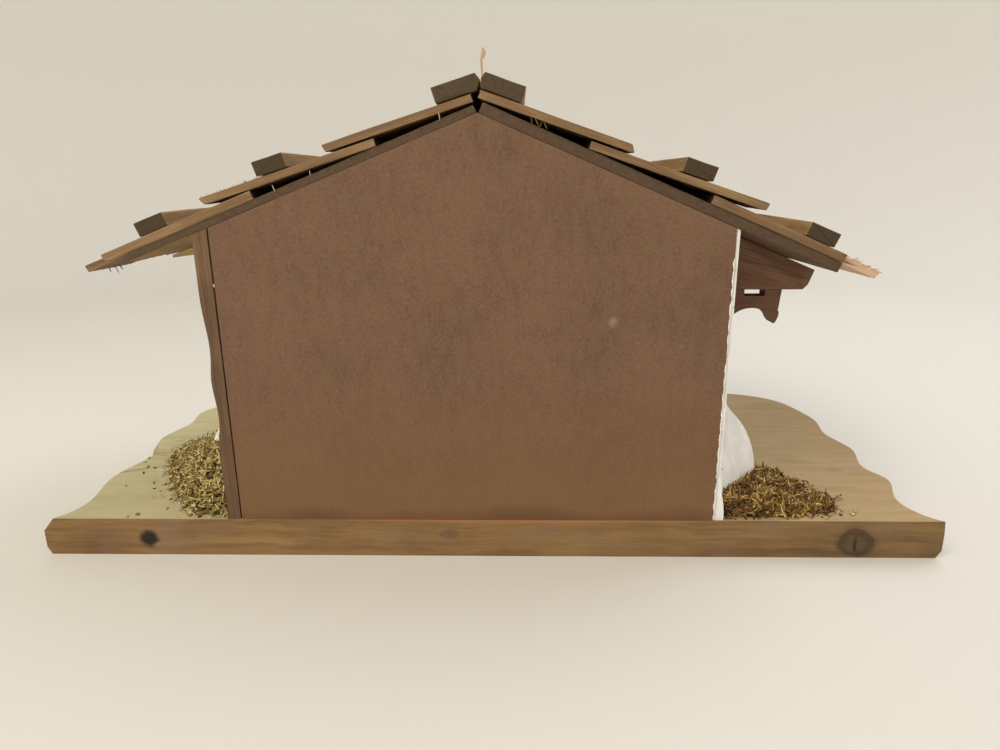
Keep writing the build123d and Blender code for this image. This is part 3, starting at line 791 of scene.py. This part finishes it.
@dataclass
class Timber:
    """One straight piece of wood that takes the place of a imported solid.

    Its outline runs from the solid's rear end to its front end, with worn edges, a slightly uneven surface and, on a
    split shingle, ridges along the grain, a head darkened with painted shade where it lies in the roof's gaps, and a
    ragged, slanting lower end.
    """

    node: str
    slot: str
    grain: Grain
    seed: int
    edge: float = 0.35 * MM
    step: float = 3.0 * MM
    uneven: float = 0.12 * MM
    ridges: float = 0.0
    rag: float = 0.0
    nose: float = 0.0
    slant: float = 0.0
    # Strength of the painted shade on a shingle's head
    head_shade: float = 0.0
    raw: float = 0.0
    tone: float = 0.0

    def build(self, material: Material) -> None:
        """Build the piece and hide the solid.

        Every point of the outline moves in by a smooth noise, so the piece stays inside its solid.

        Args:
            material: Finish of the piece.
        """
        solid = node_points(self.node)
        low, high = solid[:, 1].min(), solid[:, 1].max()
        rear, front = corners_at(solid, low), corners_at(solid, high)
        lengths = np.linalg.norm(np.roll(rear, -1, axis=0) - rear, axis=1)
        counts = np.maximum(np.round(lengths / self.step).astype(int) - 1, 1)
        rear_ring, front_ring = (rounded_ring(corners, self.edge, counts) for corners in (rear, front))

        start = low + self.edge * (1 - np.cos(QUARTER_TURN))
        between = np.linspace(low + self.edge, high - self.edge, max(int((high - low) / self.step), 2))[1:-1]
        depth = np.concatenate([start, between, low + high - start[::-1]])
        draw = self.edge * (1 - np.sin(QUARTER_TURN))
        inset = np.concatenate([draw, np.zeros(len(between)), draw[::-1]])[:, None, None]

        share = ((depth - low) / (high - low))[:, None, None]
        across = rear_ring.points + share * (front_ring.points - rear_ring.points) - rear_ring.normals * inset
        depths = np.broadcast_to(depth[:, None], across.shape[:2])
        grid = np.stack([across[..., 0], depths, across[..., 1]], axis=2)
        outward = np.insert(rear_ring.normals, 1, 0.0, axis=1)

        way, up = self.fibre_frame(rear)
        local = grid @ np.stack([way, np.cross(up, way), up], axis=1)
        noise = waves(local, LUMP_SIZES, self.seed) * self.uneven
        noise = noise + waves(local, RIDGE_SIZES, self.seed + 1) * self.ridges
        grid = grid - outward * np.clip(0.5 * (self.uneven + self.ridges + noise), 0, None)[..., None]
        grid = self.shape_butt(grid, local, way, up)

        end = np.broadcast_to((outward @ way) ** 2, grid.shape[:2]).copy()
        end[[0, 1, -2, -1]] = abs(way[1])
        wear = np.broadcast_to(rear_ring.wear, grid.shape[:2]).copy()
        wear[[1, 2, -3, -2]] = 1
        # Painted shade on the faces that look up the slope into the gaps, none on the end caps
        head = np.broadcast_to(np.clip(-(outward @ way), 0, 1) ** 2, grid.shape[:2]) * self.head_shade
        head[[0, -1]] = 0
        shift = np.random.default_rng(self.seed).uniform(-GRAIN_SHIFT, GRAIN_SHIFT, size=3)
        values = {
            "grain": (local + shift).reshape(-1, 3),
            "end": end.ravel(),
            "wear": wear.ravel(),
            "head_shade": head.ravel(),
            "tone": np.full(end.size, self.tone),
            "raw": self.raw_tip(local, share[..., 0]).ravel(),
        }
        stations, around = grid.shape[:2]
        quads = belt_faces(stations, around)
        rear_cap = list(range(around))
        front_cap = list(range(stations * around - 1, (stations - 1) * around - 1, -1))
        faces = [*quads.tolist(), rear_cap, front_cap]
        caps = np.array([len(quads), len(quads) + 1])
        piece = make_piece("worn_" + self.node, grid.reshape(-1, 3), faces, material, values, caps)
        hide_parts(self.node)

    def fibre_frame(self, corners: Array) -> tuple[Array, Array]:
        """Unit directions along the fibres and out of the broad side.

        Fibres run along the depth, upright, or down the outline's longest way.

        Args:
            corners: X and Z of the outline's corners.

        Returns:
            The direction along the fibres, and one square to it.
        """
        if self.grain is Grain.DEPTH:
            return np.array([0.0, 1.0, 0.0]), np.array([0.0, 0.0, 1.0])
        if self.grain is Grain.UPRIGHT:
            return np.array([0.0, 0.0, 1.0]), np.array([1.0, 0.0, 0.0])
        way = np.linalg.svd(corners - corners.mean(axis=0), full_matrices=False)[2][0]
        way = way if way[1] < 0 else -way
        up = np.array([-way[1], way[0]])
        up = up if up[1] > 0 else -up
        return np.array([way[0], 0.0, way[1]]), np.array([up[0], 0.0, up[1]])

    def raw_tip(self, local: Array, share: Array) -> Array:
        """How bare the wood is.

        It is bare at the lower end, over a length that runs out unevenly towards the front, and stained above it.

        Args:
            local: Places along the fibres, across them and out of the broad side.
            share: Way from the rear end to the front end of each outline.

        Returns:
            One at bare places, zero at stained ones.
        """
        if not self.raw:
            return np.zeros(local.shape[:2])
        behind = local[..., 0].max() - local[..., 0]
        torn = 1 - TEAR_LEAN * share + TEAR_NOISE * waves(local, TEAR_SIZES, self.seed + 4)
        return 1 - smooth_step(TEAR_EDGE, 1.0, behind / (self.raw * np.maximum(torn, TEAR_LEAST)))

    def shape_butt(self, grid: Array, local: Array, way: Array, up: Array) -> Array:
        """Make the lower end of a shingle ragged and slanting, and round its nose.

        The last stretch is pulled back by a noise over its end and by the slant, which grows towards the lower
        edge, or towards the upper one if it is negative. Its thickness shrinks towards the middle as the square
        root of 1 - 0.5 t^2, where t is the way into the nose.
        """
        if not self.nose:
            return grid
        along, height = local[..., 0], local[..., 2]
        behind = along.max(axis=1, keepdims=True) - along
        tip = smooth_step(0, 1, 1 - behind / RAG_LENGTH)
        torn = 0.5 + 0.5 * waves(local * (0, 1, 0.3), RAG_SIZES, self.seed + 2)
        level = (height - height.min()) / (height.max() - height.min())
        cut = self.slant * np.where(self.slant > 0, 1 - level, -level)
        t = np.clip(1 - behind / self.nose, 0, 1)
        shrink = (1 - np.sqrt(1 - 0.5 * t**2)) * (height - 0.5 * (height.min() + height.max()))
        return grid - way * (tip * (torn * self.rag + cut))[..., None] - up * shrink[..., None]


def slivers(spines: Array, widths: Array, flanks: Array, overs: Array, flatness: float) -> tuple[Array, list]:
    """Closed slivers of triangular section, pointed at both ends.

    Each section is a triangle about the spine, whose size follows a power of the sine of the way along it.

    Args:
        spines: Points along each sliver, one row for each.
        widths: Half width of each sliver at its middle.
        flanks: Unit direction across each sliver.
        overs: Unit direction out of each sliver's broad side.
        flatness: Thickness as a share of the width.

    Returns:
        Vertices of all the slivers, and their faces.
    """
    count, stations = spines.shape[:2]
    girth = np.sin(np.pi * np.linspace(0, 1, stations))[1:-1] ** SLIVER_TAPER
    angles = SLIVER_CORNERS[:, None]
    sections = flanks[:, None] * np.cos(angles) + overs[:, None] * flatness * np.sin(angles)
    rims = spines[:, 1:-1, None] + (widths[:, None] * girth)[..., None, None] * sections[:, None]
    points = np.concatenate([spines[:, :1], rims.reshape(count, -1, 3), spines[:, -1:]], axis=1)
    spots, last = np.arange(3), points.shape[1] - 1
    beside = (spots + 1) % 3
    first_cone = np.stack([np.zeros(3, int), 1 + spots, 1 + beside], axis=1)
    last_cone = np.stack([np.full(3, last), last - 3 + beside, last - 3 + spots], axis=1)
    starts = (last + 1) * np.arange(count)[:, None, None]
    triangles = (np.concatenate([first_cone, last_cone])[None] + starts).reshape(-1, 3)
    quads = (belt_faces(stations - 2, 3)[None] + 1 + starts).reshape(-1, 4)
    return points.reshape(-1, 3), [*triangles.tolist(), *quads.tolist()]


def bent_spines(roots: Array, ahead: Array, over: Array, along: Array, curl: Array) -> Array:
    """Points along slivers, one row for each, that run ahead from their roots and curl out of their broad side."""
    return roots[:, None] + ahead[:, None] * along[..., None] + over[:, None] * curl[..., None]


@dataclass
class Roof:
    """Boards, shingles, battens and ridge caps of both slopes."""

    finishes: Stock
    sides: tuple[str, ...] = ("timber", "plaster")
    courses: tuple[str, ...] = ("top", "middle", "eave")
    columns: int = 5
    rag: float = 1.4 * MM
    rear_rag: float = 0.4 * MM
    slant: float = 0.4 * MM
    slants: dict[str, float] = field(
        default_factory=lambda: {
            "timber_middle_shingle_1": 0.9 * MM,
            "timber_top_shingle_1": 0.7 * MM,
            "plaster_top_shingle_1": -1.3 * MM,
        }
    )
    raw_tips: dict[str, float] = field(default_factory=lambda: {"plaster_eave_shingle_2": 30 * MM})
    shingle_tones: float = 0.14
    batten_tones: float = 0.08
    stem: float = 0.7 * MM
    blade_share: float = 0.5

    def build(self) -> None:
        """Rebuild every straight piece of the roof, and the splinter on its ridge."""
        for number, side in enumerate(self.sides):
            self.build_slope(side, 100 * (number + 1))
        self.build_splinter()

    def build_splinter(self) -> None:
        """Rebuild the splinter from its solid, with the blade above its neck drawn in towards its straight edge."""
        node = "ridge_splinter"
        places, faces = welded(node)
        neck, tip = places[places[:, 0].argmin()], places[places[:, 2].argmax()]
        straight = np.interp(places[:, 2], (neck[2], tip[2]), (neck[0], tip[0]))
        width = places[:, 0] - straight
        drawn = straight + np.minimum(width, self.stem) + self.blade_share * np.maximum(width - self.stem, 0)
        places[:, 0] = np.where(places[:, 2] > neck[2], drawn, places[:, 0])
        flat = np.arange(len(faces))
        piece = make_piece("worn_" + node, places, faces, self.finishes["splinter"], flat=flat)
        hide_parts(node)

    def build_slope(self, side: str, seed: int) -> None:
        """Rebuild one slope."""
        dice = np.random.default_rng(seed)
        # The timber side's board carries painted bounce light, the plaster side's painted shade
        board = self.finishes[f"{side}_board"]
        Timber(f"{side}_roof_board", "roof_board_wood", Grain.DEPTH, seed).build(board)
        for row, course in enumerate(self.courses):
            for column in range(1, self.columns + 1):
                node = f"{side}_{course}_shingle_{column}"
                Timber(
                    node,
                    "split_shingle_wood",
                    Grain.SLOPE,
                    seed + 10 * row + column,
                    edge=0.3 * MM,
                    step=1.6 * MM,
                    uneven=0.1 * MM,
                    ridges=0.12 * MM,
                    rag=self.rear_rag if column == 1 else self.rag,
                    nose=0.5 * MM,
                    slant=self.slants.get(node, self.slant),
                    head_shade=0.9,
                    raw=self.raw_tips.get(node, 0.0),
                    tone=float(dice.uniform(-self.shingle_tones, self.shingle_tones)),
                ).build(self.finishes["shingle"])
        battens = {"ridge_cap": "cap", "middle_batten": "batten", "eave_batten": "batten"}
        for number, (name, finish) in enumerate(battens.items()):
            tone = float(dice.uniform(-self.batten_tones, self.batten_tones))
            batten = Timber(f"{side}_{name}", "batten_wood", Grain.DEPTH, seed + 50 + number, tone=tone)
            batten.build(self.finishes[finish])


@dataclass
class House:
    """Walls, gable frame, brackets and corbels."""

    finishes: Stock
    members: dict[str, Grain] = field(
        default_factory=lambda: {
            "ridge_beam": Grain.DEPTH,
            "front_tie_beam": Grain.SLOPE,
            "timber_front_post": Grain.UPRIGHT,
            "plaster_front_post": Grain.UPRIGHT,
            "king_post": Grain.UPRIGHT,
            "timber_front_rafter": Grain.SLOPE,
            "plaster_front_rafter": Grain.SLOPE,
        }
    )
    brackets: dict[str, str] = field(default_factory=lambda: {"plaster": "bracket", "timber": "bounce_lit_bracket"})
    seed: int = 400

    def build(self) -> None:
        """Rebuild the straight members and dress the rest."""
        for number, (node, grain) in enumerate(self.members.items()):
            Timber(node, "stained_timber", grain, self.seed + number).build(self.finishes["timber"])
        # The timber side's brackets take the finish painted pale with bounce light
        for row, (side, finish) in enumerate(self.brackets.items(), start=2):
            for number, end in enumerate(("rear", "front")):
                bracket = f"{side}_eave_bracket_{end}"
                seed = self.seed + 10 * row + number
                Timber(bracket, "stained_timber", Grain.SLOPE, seed).build(self.finishes[finish])
        dress(self.finishes["hardboard"], "rear_panel")
        dress(self.finishes["wall"], "timber_side_wall", "plaster_wall_core")
        dress(self.finishes["carved"], "corbel_rear", "corbel_front")
        dress(self.finishes["plaster"], "plaster_coat", "timber_wall_foot")


@dataclass
class MossBank:
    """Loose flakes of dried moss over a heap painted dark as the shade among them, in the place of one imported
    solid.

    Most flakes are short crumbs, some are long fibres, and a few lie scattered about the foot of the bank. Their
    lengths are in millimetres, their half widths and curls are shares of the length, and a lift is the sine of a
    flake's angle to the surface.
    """

    node: str
    seed: int
    flakes: int
    tint: float
    tint_spread: float = 0.24
    # Dark tint of the heap, painted shade among the flakes
    heap_shade_tint: float = 0.22
    heap_share: float = 0.83
    heap_lumps: float = 0.04
    fibre_share: float = 0.35
    fibre_lengths: tuple[float, float] = (2.5, 8.0)
    fibre_widths: tuple[float, float] = (0.04, 0.1)
    crumb_lengths: tuple[float, float] = (0.9, 2.8)
    crumb_widths: tuple[float, float] = (0.2, 0.5)
    lifts: tuple[float, float] = (-0.1, 0.7)
    curl: float = 1.2
    root_share: float = 0.3
    flatness: float = 0.45
    stray_share: float = 0.04
    stray_reach: tuple[float, ...] = mm(5, 4)
    stray_lift: float = 0.02
    clump: float = 8 * MM
    clump_tint_and_shade: float = 0.16
    least_tint: float = 0.02
    hollow: float = 1.5
    hollow_swing: float = 1.2
    lump: float = 6 * MM
    sink: float = 0.6 * MM
    flake_gap: float = 0.05 * MM
    heap_gap: float = 0.02 * MM
    rear: float = -99.0 * MM
    reach: float = 190.0 * MM

    def surface(self, dice: np.random.Generator) -> tuple[Array, Array]:
        """Random places on the solid's outer faces, by area, with the faces' normals.

        Args:
            dice: Source of the random numbers.

        Returns:
            Places and normals.
        """
        triangles = node_points(self.node)[node_triangles(self.node)]
        cross = np.cross(triangles[:, 1] - triangles[:, 0], triangles[:, 2] - triangles[:, 0])
        area = np.linalg.norm(cross, axis=1)
        normals = cross / np.maximum(area, 1e-12)[:, None]
        weight = area * ((normals[:, 2] > 0.02) | (np.abs(normals[:, 1]) > 0.7))
        chosen = dice.choice(len(area), size=self.flakes, p=weight / weight.sum())
        first, second = dice.uniform(size=(2, self.flakes, 1))
        over = first + second > 1
        first, second = np.where(over, 1 - first, first), np.where(over, 1 - second, second)
        origin, one, two = triangles[chosen].swapaxes(0, 1)
        return origin + first * (one - origin) + second * (two - origin), normals[chosen]

    def build(self, material: Material) -> None:
        """Build the flakes and the heap under them, and hide the solid.

        A flake's spine bends with the square of the way from its middle. A flake that would cut the base or pass
        its rear edge moves up or in as a whole.

        Args:
            material: Finish of the moss.
        """
        dice = np.random.default_rng(self.seed)
        places, normals = self.surface(dice)
        count, floor = self.flakes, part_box(self.node)[0].z

        stray = (dice.uniform(size=count) < self.stray_share)[:, None]
        aside, behind = self.stray_reach
        away = np.sign(places[:, 0]) * dice.exponential(aside, count)
        scattered = places + np.stack([away, dice.normal(0, behind, count), np.zeros(count)], axis=1)
        scattered[:, 0] = np.clip(scattered[:, 0], -self.reach, self.reach)
        scattered[:, 2] = floor + self.sink
        places = np.where(stray, scattered, places)
        normals = np.where(stray, (0.0, 0.0, 1.0), normals)

        fibre = dice.uniform(size=count) < self.fibre_share
        fibre_length, crumb_length = (dice.uniform(*ends, count) for ends in (self.fibre_lengths, self.crumb_lengths))
        length = np.where(fibre, fibre_length, crumb_length) * MM
        fibre_width, crumb_width = (dice.uniform(*ends, count) for ends in (self.fibre_widths, self.crumb_widths))
        width = length * np.where(fibre, fibre_width, crumb_width)
        lift = np.where(stray, self.stray_lift, dice.uniform(*self.lifts, (count, 1)))
        side = unit(np.cross(normals, dice.normal(size=(count, 3))))
        ahead = side * np.sqrt(1 - lift**2) + normals * lift
        flank = unit(np.cross(ahead, normals))
        over = np.cross(flank, ahead)
        clumps = waves(places, self.clump, self.seed + 5)
        hollow = self.sink * np.where(stray[:, 0], 1, self.hollow - self.hollow_swing * clumps)
        along = np.linspace(0, 1, FLAKE_STATIONS)
        curl = dice.uniform(-self.curl, self.curl, count)[:, None] * (along - 0.5) ** 2
        roots = places - normals * hollow[:, None]
        reach = (along - self.root_share) * length[:, None]
        spines = bent_spines(roots, ahead, over, reach, curl * length[:, None])
        points, faces = slivers(spines, width, flank, over, self.flatness)
        each = points.reshape(count, -1, 3)
        limit = np.array([-np.inf, self.rear, floor + self.flake_gap])
        points = (each + np.maximum(limit - each.min(axis=1), 0)[:, None]).reshape(-1, 3)
        # Partly patches of darker and paler moss, partly painted shade: flakes sunk deeper in the hollows are darker
        tint = dice.normal(self.tint, self.tint_spread, count) + self.clump_tint_and_shade * clumps
        tint = np.clip(tint, self.least_tint, 1.0)
        values = {"tint": np.repeat(tint, len(points) // count)}
        piece = make_piece(f"flakes_{self.node}", points, faces, material, values)
        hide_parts(self.node)
        self.build_heap(material)

    def build_heap(self, material: Material) -> None:
        """Build the heap, painted dark as the shade between the flakes: the solid's own surface, drawn in towards its
        middle and made lumpy by a noise.
        """
        places, faces = welded(self.node)
        floor = places[:, 2].min()
        middle = np.array([*places.mean(axis=0)[:2], floor])
        lumps = self.heap_share + self.heap_lumps * waves(places, self.lump, self.seed + 3)
        heap = middle + (places - middle) * lumps[:, None]
        heap[:, 2] = np.maximum(heap[:, 2], floor + self.heap_gap)
        # Painted shade: the heap takes a dark tint
        values = {"tint": np.full(len(heap), self.heap_shade_tint)}
        make_piece(f"heap_{self.node}", heap, faces, material, values)


@dataclass
class Ground:
    """The base board and the moss banked against the walls."""

    finishes: Stock

    def build(self) -> None:
        """Dress the base and lay the moss."""
        dress(self.finishes["base"], "base_board")
        MossBank("moss_timber_side", 700, 7000, 0.58).build(self.finishes["straw_moss"])
        MossBank("moss_plaster_side", 720, 6000, 0.46).build(self.finishes["brown_moss"])


@dataclass(frozen=True)
class Strand:
    """A strand of glue or a loose fibre: X and Z of both ends, and its half width, in millimetres."""

    start: tuple[float, float]
    end: tuple[float, float]
    half_width: float


@dataclass(frozen=True)
class Fray:
    """Torn fibres along the rear of a shingle's upper face.

    The reach is a stretch of the face, as shares of its length from the head. The depth and the longest fibre are in
    metres, the half widths in millimetres, and the tints lie on the finish's ramp.
    """

    node: str
    reach: tuple[float, float]
    count: int
    depth: float
    longest: float
    tints: tuple[float, float]
    half_widths: tuple[float, float]
    seed: int


@dataclass
class Traces:
    """Marks of the making: glue strings in the roof's gaps, smeared plaster and fibres torn out of the shingles.

    The smears' lengths and half widths are in millimetres.
    """

    finishes: Stock
    smears: int = 60
    smear_seed: int = 803
    smear_foot: float = 2 * MM
    smear_height: float = 112.0 * MM
    smear_lengths: tuple[float, float] = (3, 11)
    smear_half_widths: tuple[float, float] = (0.2, 0.6)
    smear_crowding: float = 1.4
    smear_overlap: float = 0.1 * MM
    smear_inset: float = 0.35
    smear_sway: float = 0.25 * MM
    smear_swing: float = 9
    smear_rise: float = 0.02 * MM
    smear_flatness: float = 0.3
    fray_inset: float = 0.3 * MM
    fray_sink: float = 0.25 * MM
    fray_scatter: float = 0.4
    fray_lean: float = 0.35
    fray_lean_shape: tuple[float, ...] = (0.4, 1.0, 0.4)
    fray_lifts: tuple[float, float] = (0.05, 0.7)
    fray_lengths: tuple[float, float] = (0.35, 1.0)
    fray_curls: tuple[float, float] = (-0.3, 0.5)
    fray_root: float = -0.1
    fray_flatness: float = 0.6
    fibre_inset: float = 2 * MM
    fibre_tint: float = 0.12
    straw_tint: float = 0.36
    strands: tuple[Strand, ...] = (
        Strand((-16.17, 190.3), (-15.7, 186.6), 0.26),
        Strand((-67.55, 169.2), (-67.4, 166.6), 0.22),
        Strand((-82.9, 163.8), (-81.9, 160.8), 0.28),
        Strand((-111.0, 124.7), (-110.7, 122.9), 0.6),
    )
    fibres: tuple[Strand, ...] = (
        Strand((-154.9, 132.2), (-153.9, 129.2), 0.26),
        Strand((-152.2, 132.6), (-150.6, 128.6), 0.2),
        Strand((-150.4, 133.0), (-148.8, 130.2), 0.3),
    )
    straws: tuple[Strand, ...] = (
        Strand((19.1, 187.9), (19.7, 184.9), 0.2),
        Strand((20.6, 187.3), (22.4, 184.2), 0.28),
        Strand((23.2, 186.3), (22.6, 183.9), 0.18),
        Strand((24.1, 186.0), (25.4, 183.1), 0.24),
    )
    frays: tuple[Fray, ...] = (
        Fray("plaster_eave_shingle_2", (0.7, 0.99), 240, 9 * MM, 2.6 * MM, (0.4, 1.0), (0.12, 0.42), 801),
        Fray("timber_middle_shingle_1", (0.62, 0.98), 90, 5 * MM, 1.7 * MM, (0.1, 0.7), (0.18, 0.45), 802),
    )

    def build(self) -> None:
        """Lay the glue and the fibres."""
        points, faces = self.stretch(self.strands, REAR)
        make_piece("glue_strings", points, faces, self.finishes["glue"])
        loose = (
            ("hanging_fibres", self.fibres, REAR + self.fibre_inset, self.fibre_tint, "brown_moss"),
            ("straw_fibres", self.straws, REAR, self.straw_tint, "straw_moss"),
        )
        for name, strands, y, tint, finish in loose:
            points, faces = self.stretch(strands, y)
            values = {"tint": np.full(len(points), tint)}
            make_piece(name, points, faces, self.finishes[finish], values)
        for fray in self.frays:
            self.build_fray(fray)
        self.build_smear()

    @staticmethod
    def stretch(strands: tuple[Strand, ...], y: float, flatness: float = 0.8) -> tuple[Array, list]:
        """Slivers between the ends of each strand, in a plane across the stable.

        Args:
            strands: The strands, whose ends lie inside the pieces that hold them.
            y: Depth of the plane.
            flatness: Thickness as a share of the width.

        Returns:
            Vertices and faces.
        """
        ends = np.array([[strand.start, strand.end] for strand in strands]) * MM
        along = np.linspace(0, 1, STRAND_STATIONS)[:, None]
        flat = ends[:, None, 0] + along * (ends[:, None, 1] - ends[:, None, 0])
        spines = np.insert(flat, 1, y, axis=2)
        ahead = unit(spines[:, -1] - spines[:, 0])
        over = np.broadcast_to(BACKWARD, ahead.shape)
        widths = np.array([strand.half_width for strand in strands]) * MM
        return slivers(spines, widths, np.cross(ahead, over), over, flatness)

    def build_smear(self) -> None:
        """Smear plaster along the panel's edge: flat upright slivers, half sunk into its rear face."""
        low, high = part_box("rear_panel")
        dice = np.random.default_rng(self.smear_seed)
        foot, top = low.z + self.smear_foot, low.z + self.smear_height
        height = foot + (top - foot) * dice.uniform(0, 1, self.smears) ** self.smear_crowding
        length = dice.uniform(*self.smear_lengths, self.smears) * MM
        half_width = dice.uniform(*self.smear_half_widths, self.smears) * MM
        along = np.linspace(0, 1, FLAKE_STATIONS)
        z = height[:, None] + (along - 0.5) * length[:, None]
        middle = high.x + self.smear_overlap - self.smear_inset * half_width
        x = middle[:, None] + self.smear_sway * np.sin(self.smear_swing * along + height[:, None] / MM)
        spines = np.stack([x, np.full_like(x, low.y - self.smear_rise), np.maximum(z, low.z)], axis=2)
        flank = np.broadcast_to((1.0, 0.0, 0.0), (self.smears, 3))
        over = np.broadcast_to(BACKWARD, (self.smears, 3))
        points, faces = slivers(spines, half_width, flank, over, self.smear_flatness)
        make_piece("plaster_smear", points, faces, self.finishes["plaster"])

    def build_fray(self, fray: Fray) -> None:
        """Raise the fibres from the upper face, most of them pointing down the slope."""
        solid = node_points(fray.node)
        low = solid[:, 1].min()
        corners = corners_at(solid, low)
        sides = np.roll(corners, -1, axis=0) - corners
        upper = int(np.argmin(unit(sides)[:, 0]))
        pair = np.stack([corners[upper], corners[(upper + 1) % len(corners)]])
        head, butt = pair[np.argsort(-pair[:, 1])]
        dice = np.random.default_rng(fray.seed)
        flat = head + dice.uniform(*fray.reach, (fray.count, 1)) * (butt - head)
        depth = low + self.fray_inset + dice.exponential(self.fray_scatter, fray.count).clip(0, 1) * fray.depth
        roots = np.stack([flat[:, 0], depth, flat[:, 1]], axis=1)
        slope = unit(np.array([butt[0] - head[0], 0.0, butt[1] - head[1]]))
        up = np.array([-slope[2], 0.0, slope[0]]) * np.sign(slope[0])
        lean = dice.normal(0, self.fray_lean, (fray.count, 3)) * self.fray_lean_shape
        ahead = unit(slope + up * dice.uniform(*self.fray_lifts, (fray.count, 1)) + lean)
        flank = unit(np.cross(ahead, up))
        over = np.cross(flank, ahead)
        length = dice.uniform(*self.fray_lengths, fray.count)[:, None] * fray.longest
        along = np.linspace(self.fray_root, 1, FLAKE_STATIONS)
        curl = dice.uniform(*self.fray_curls, fray.count)[:, None] * along**2
        spines = bent_spines(roots - up * self.fray_sink, ahead, over, along * length, curl * length)
        widths = dice.uniform(*fray.half_widths, fray.count) * MM
        points, faces = slivers(spines, widths, flank, over, self.fray_flatness)
        values = {"tint": np.repeat(dice.uniform(*fray.tints, fray.count), len(points) // fray.count)}
        make_piece(f"fray_{fray.node}", points, faces, self.finishes["fray"], values)


@dataclass(frozen=True)
class Lamp:
    """A round soft lamp: its name, place and width in metres, watts and tint."""

    name: str
    place: tuple[float, float, float]
    size: float
    watts: float
    tint: str


@dataclass
class Studio:
    """Pale round stage, soft lights and a camera at the photograph's place. The stage's sizes are in metres."""

    focal_share: float = 0.69825
    sensor: float = 36.0
    place: tuple[float, ...] = mm(13.89, -383.28, 165.65)
    yaw: float = -0.0263
    pitch: float = 0.2754
    roll: float = -0.0087
    nearest: float = 0.01
    floor: str = "#DEDBD4"
    floor_grain: float = 4 * MM
    floor_relief: float = 0.02 * MM
    floor_radii: tuple[float, ...] = (0.05, 0.3, 0.6)
    bend_start: float = 0.85
    bend_radius: float = 0.4
    bend_steps: int = 13
    wall_height: float = 1.3
    around: int = 96
    aim: tuple[float, float, float] = (0, 0, 0.08)
    sky: str = "#F4F2EC"
    sky_strength: float = 0.7
    lamps: tuple[Lamp, ...] = (
        Lamp("key", (-0.45, -0.75, 1.05), 0.9, 9.0, "#FFF6E8"),
        Lamp("fill", (0.75, 0.35, 0.95), 0.8, 5.0, "#F3F6FF"),
    )

    def build(self) -> None:
        """Set up the stage, the lights and the camera."""
        self.build_stage()
        self.build_lights()
        self.build_camera()
        bpy.context.scene.view_settings.view_transform = "Standard"

    def build_stage(self) -> None:
        """Turn a flat floor with a rounded rim and an upright wall about Z."""
        bend = np.radians(np.linspace(0, 90, self.bend_steps))
        rim = self.bend_start + self.bend_radius * np.sin(bend)
        radius = np.concatenate([self.floor_radii, rim, rim[-1:]])
        rise = self.bend_radius * (1 - np.cos(bend))
        height = np.concatenate([np.zeros(len(self.floor_radii)), rise, [self.wall_height]])
        turn = np.linspace(0, 2 * np.pi, self.around, endpoint=False)
        level = np.broadcast_to(height[:, None], (len(height), len(turn)))
        points = np.stack([np.outer(radius, np.cos(turn)), np.outer(radius, np.sin(turn)), level], axis=2)
        faces = belt_faces(len(radius), len(turn)).tolist()
        mesh = bpy.data.meshes.new("stage")
        mesh.from_pydata(points.reshape(-1, 3), [], [*faces, list(range(len(turn)))])
        mesh.polygons.foreach_set("use_smooth", np.ones(len(mesh.polygons), bool))
        r = Recipe("plain pale floor")
        grain = r.noise(r.place(), self.floor_grain)
        mesh.materials.append(r.close(linear(self.floor), 0.8, grain, self.floor_relief))
        stage = bpy.data.objects.new("stage", mesh)
        bpy.context.scene.collection.objects.link(stage)

    def build_lights(self) -> None:
        """Hang two large soft lamps and fill the rest with an even sky."""
        for lamp in self.lamps:
            light = bpy.data.lights.new(lamp.name, "AREA")
            light.shape = "DISK"
            light.size = lamp.size
            light.energy = lamp.watts
            light.color = linear(lamp.tint)[:3]
            hung = bpy.data.objects.new(lamp.name, light)
            hung.location = lamp.place
            hung.rotation_euler = (Vector(self.aim) - Vector(lamp.place)).to_track_quat("-Z", "Y").to_euler()
            bpy.context.scene.collection.objects.link(hung)
        world = bpy.data.worlds.new("even sky")
        world.use_nodes = True
        sky = world.node_tree.nodes["Background"]
        sky.inputs["Color"].default_value = linear(self.sky)
        sky.inputs["Strength"].default_value = self.sky_strength
        bpy.context.scene.world = world

    def build_camera(self) -> None:
        """Stand the camera where the photograph was taken.

        The right, up and forward directions come from turning about Z by the yaw, tipping down by the pitch and
        rolling about the forward direction.
        """
        ahead = np.array([math.sin(self.yaw), math.cos(self.yaw), 0.0])
        right = np.array([math.cos(self.yaw), -math.sin(self.yaw), 0.0])
        up = np.array([0.0, 0.0, 1.0])
        forward = math.cos(self.pitch) * ahead - math.sin(self.pitch) * up
        tipped = math.cos(self.pitch) * up + math.sin(self.pitch) * ahead
        rolled = math.cos(self.roll) * right + math.sin(self.roll) * tipped
        raised = math.cos(self.roll) * tipped - math.sin(self.roll) * right
        lens = bpy.data.cameras.new("camera")
        lens.sensor_width = self.sensor
        lens.lens = self.sensor * self.focal_share
        lens.clip_start = self.nearest
        camera = bpy.data.objects.new("camera", lens)
        turned = Matrix(np.stack([rolled, raised, -forward], axis=1).tolist()).to_4x4()
        camera.matrix_world = Matrix.Translation(self.place) @ turned
        bpy.context.scene.collection.objects.link(camera)
        bpy.context.scene.camera = camera


def main() -> None:
    """Build the stable and the studio in order."""
    logging.basicConfig(level=logging.INFO, format="%(name)s: %(message)s")
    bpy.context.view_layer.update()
    finishes = make_finishes()
    for part in (Ground(finishes), House(finishes), Roof(finishes), Traces(finishes), Studio()):
        part.build()
        LOG.info("built %s", type(part).__name__)


if __name__ == "__main__":
    main()
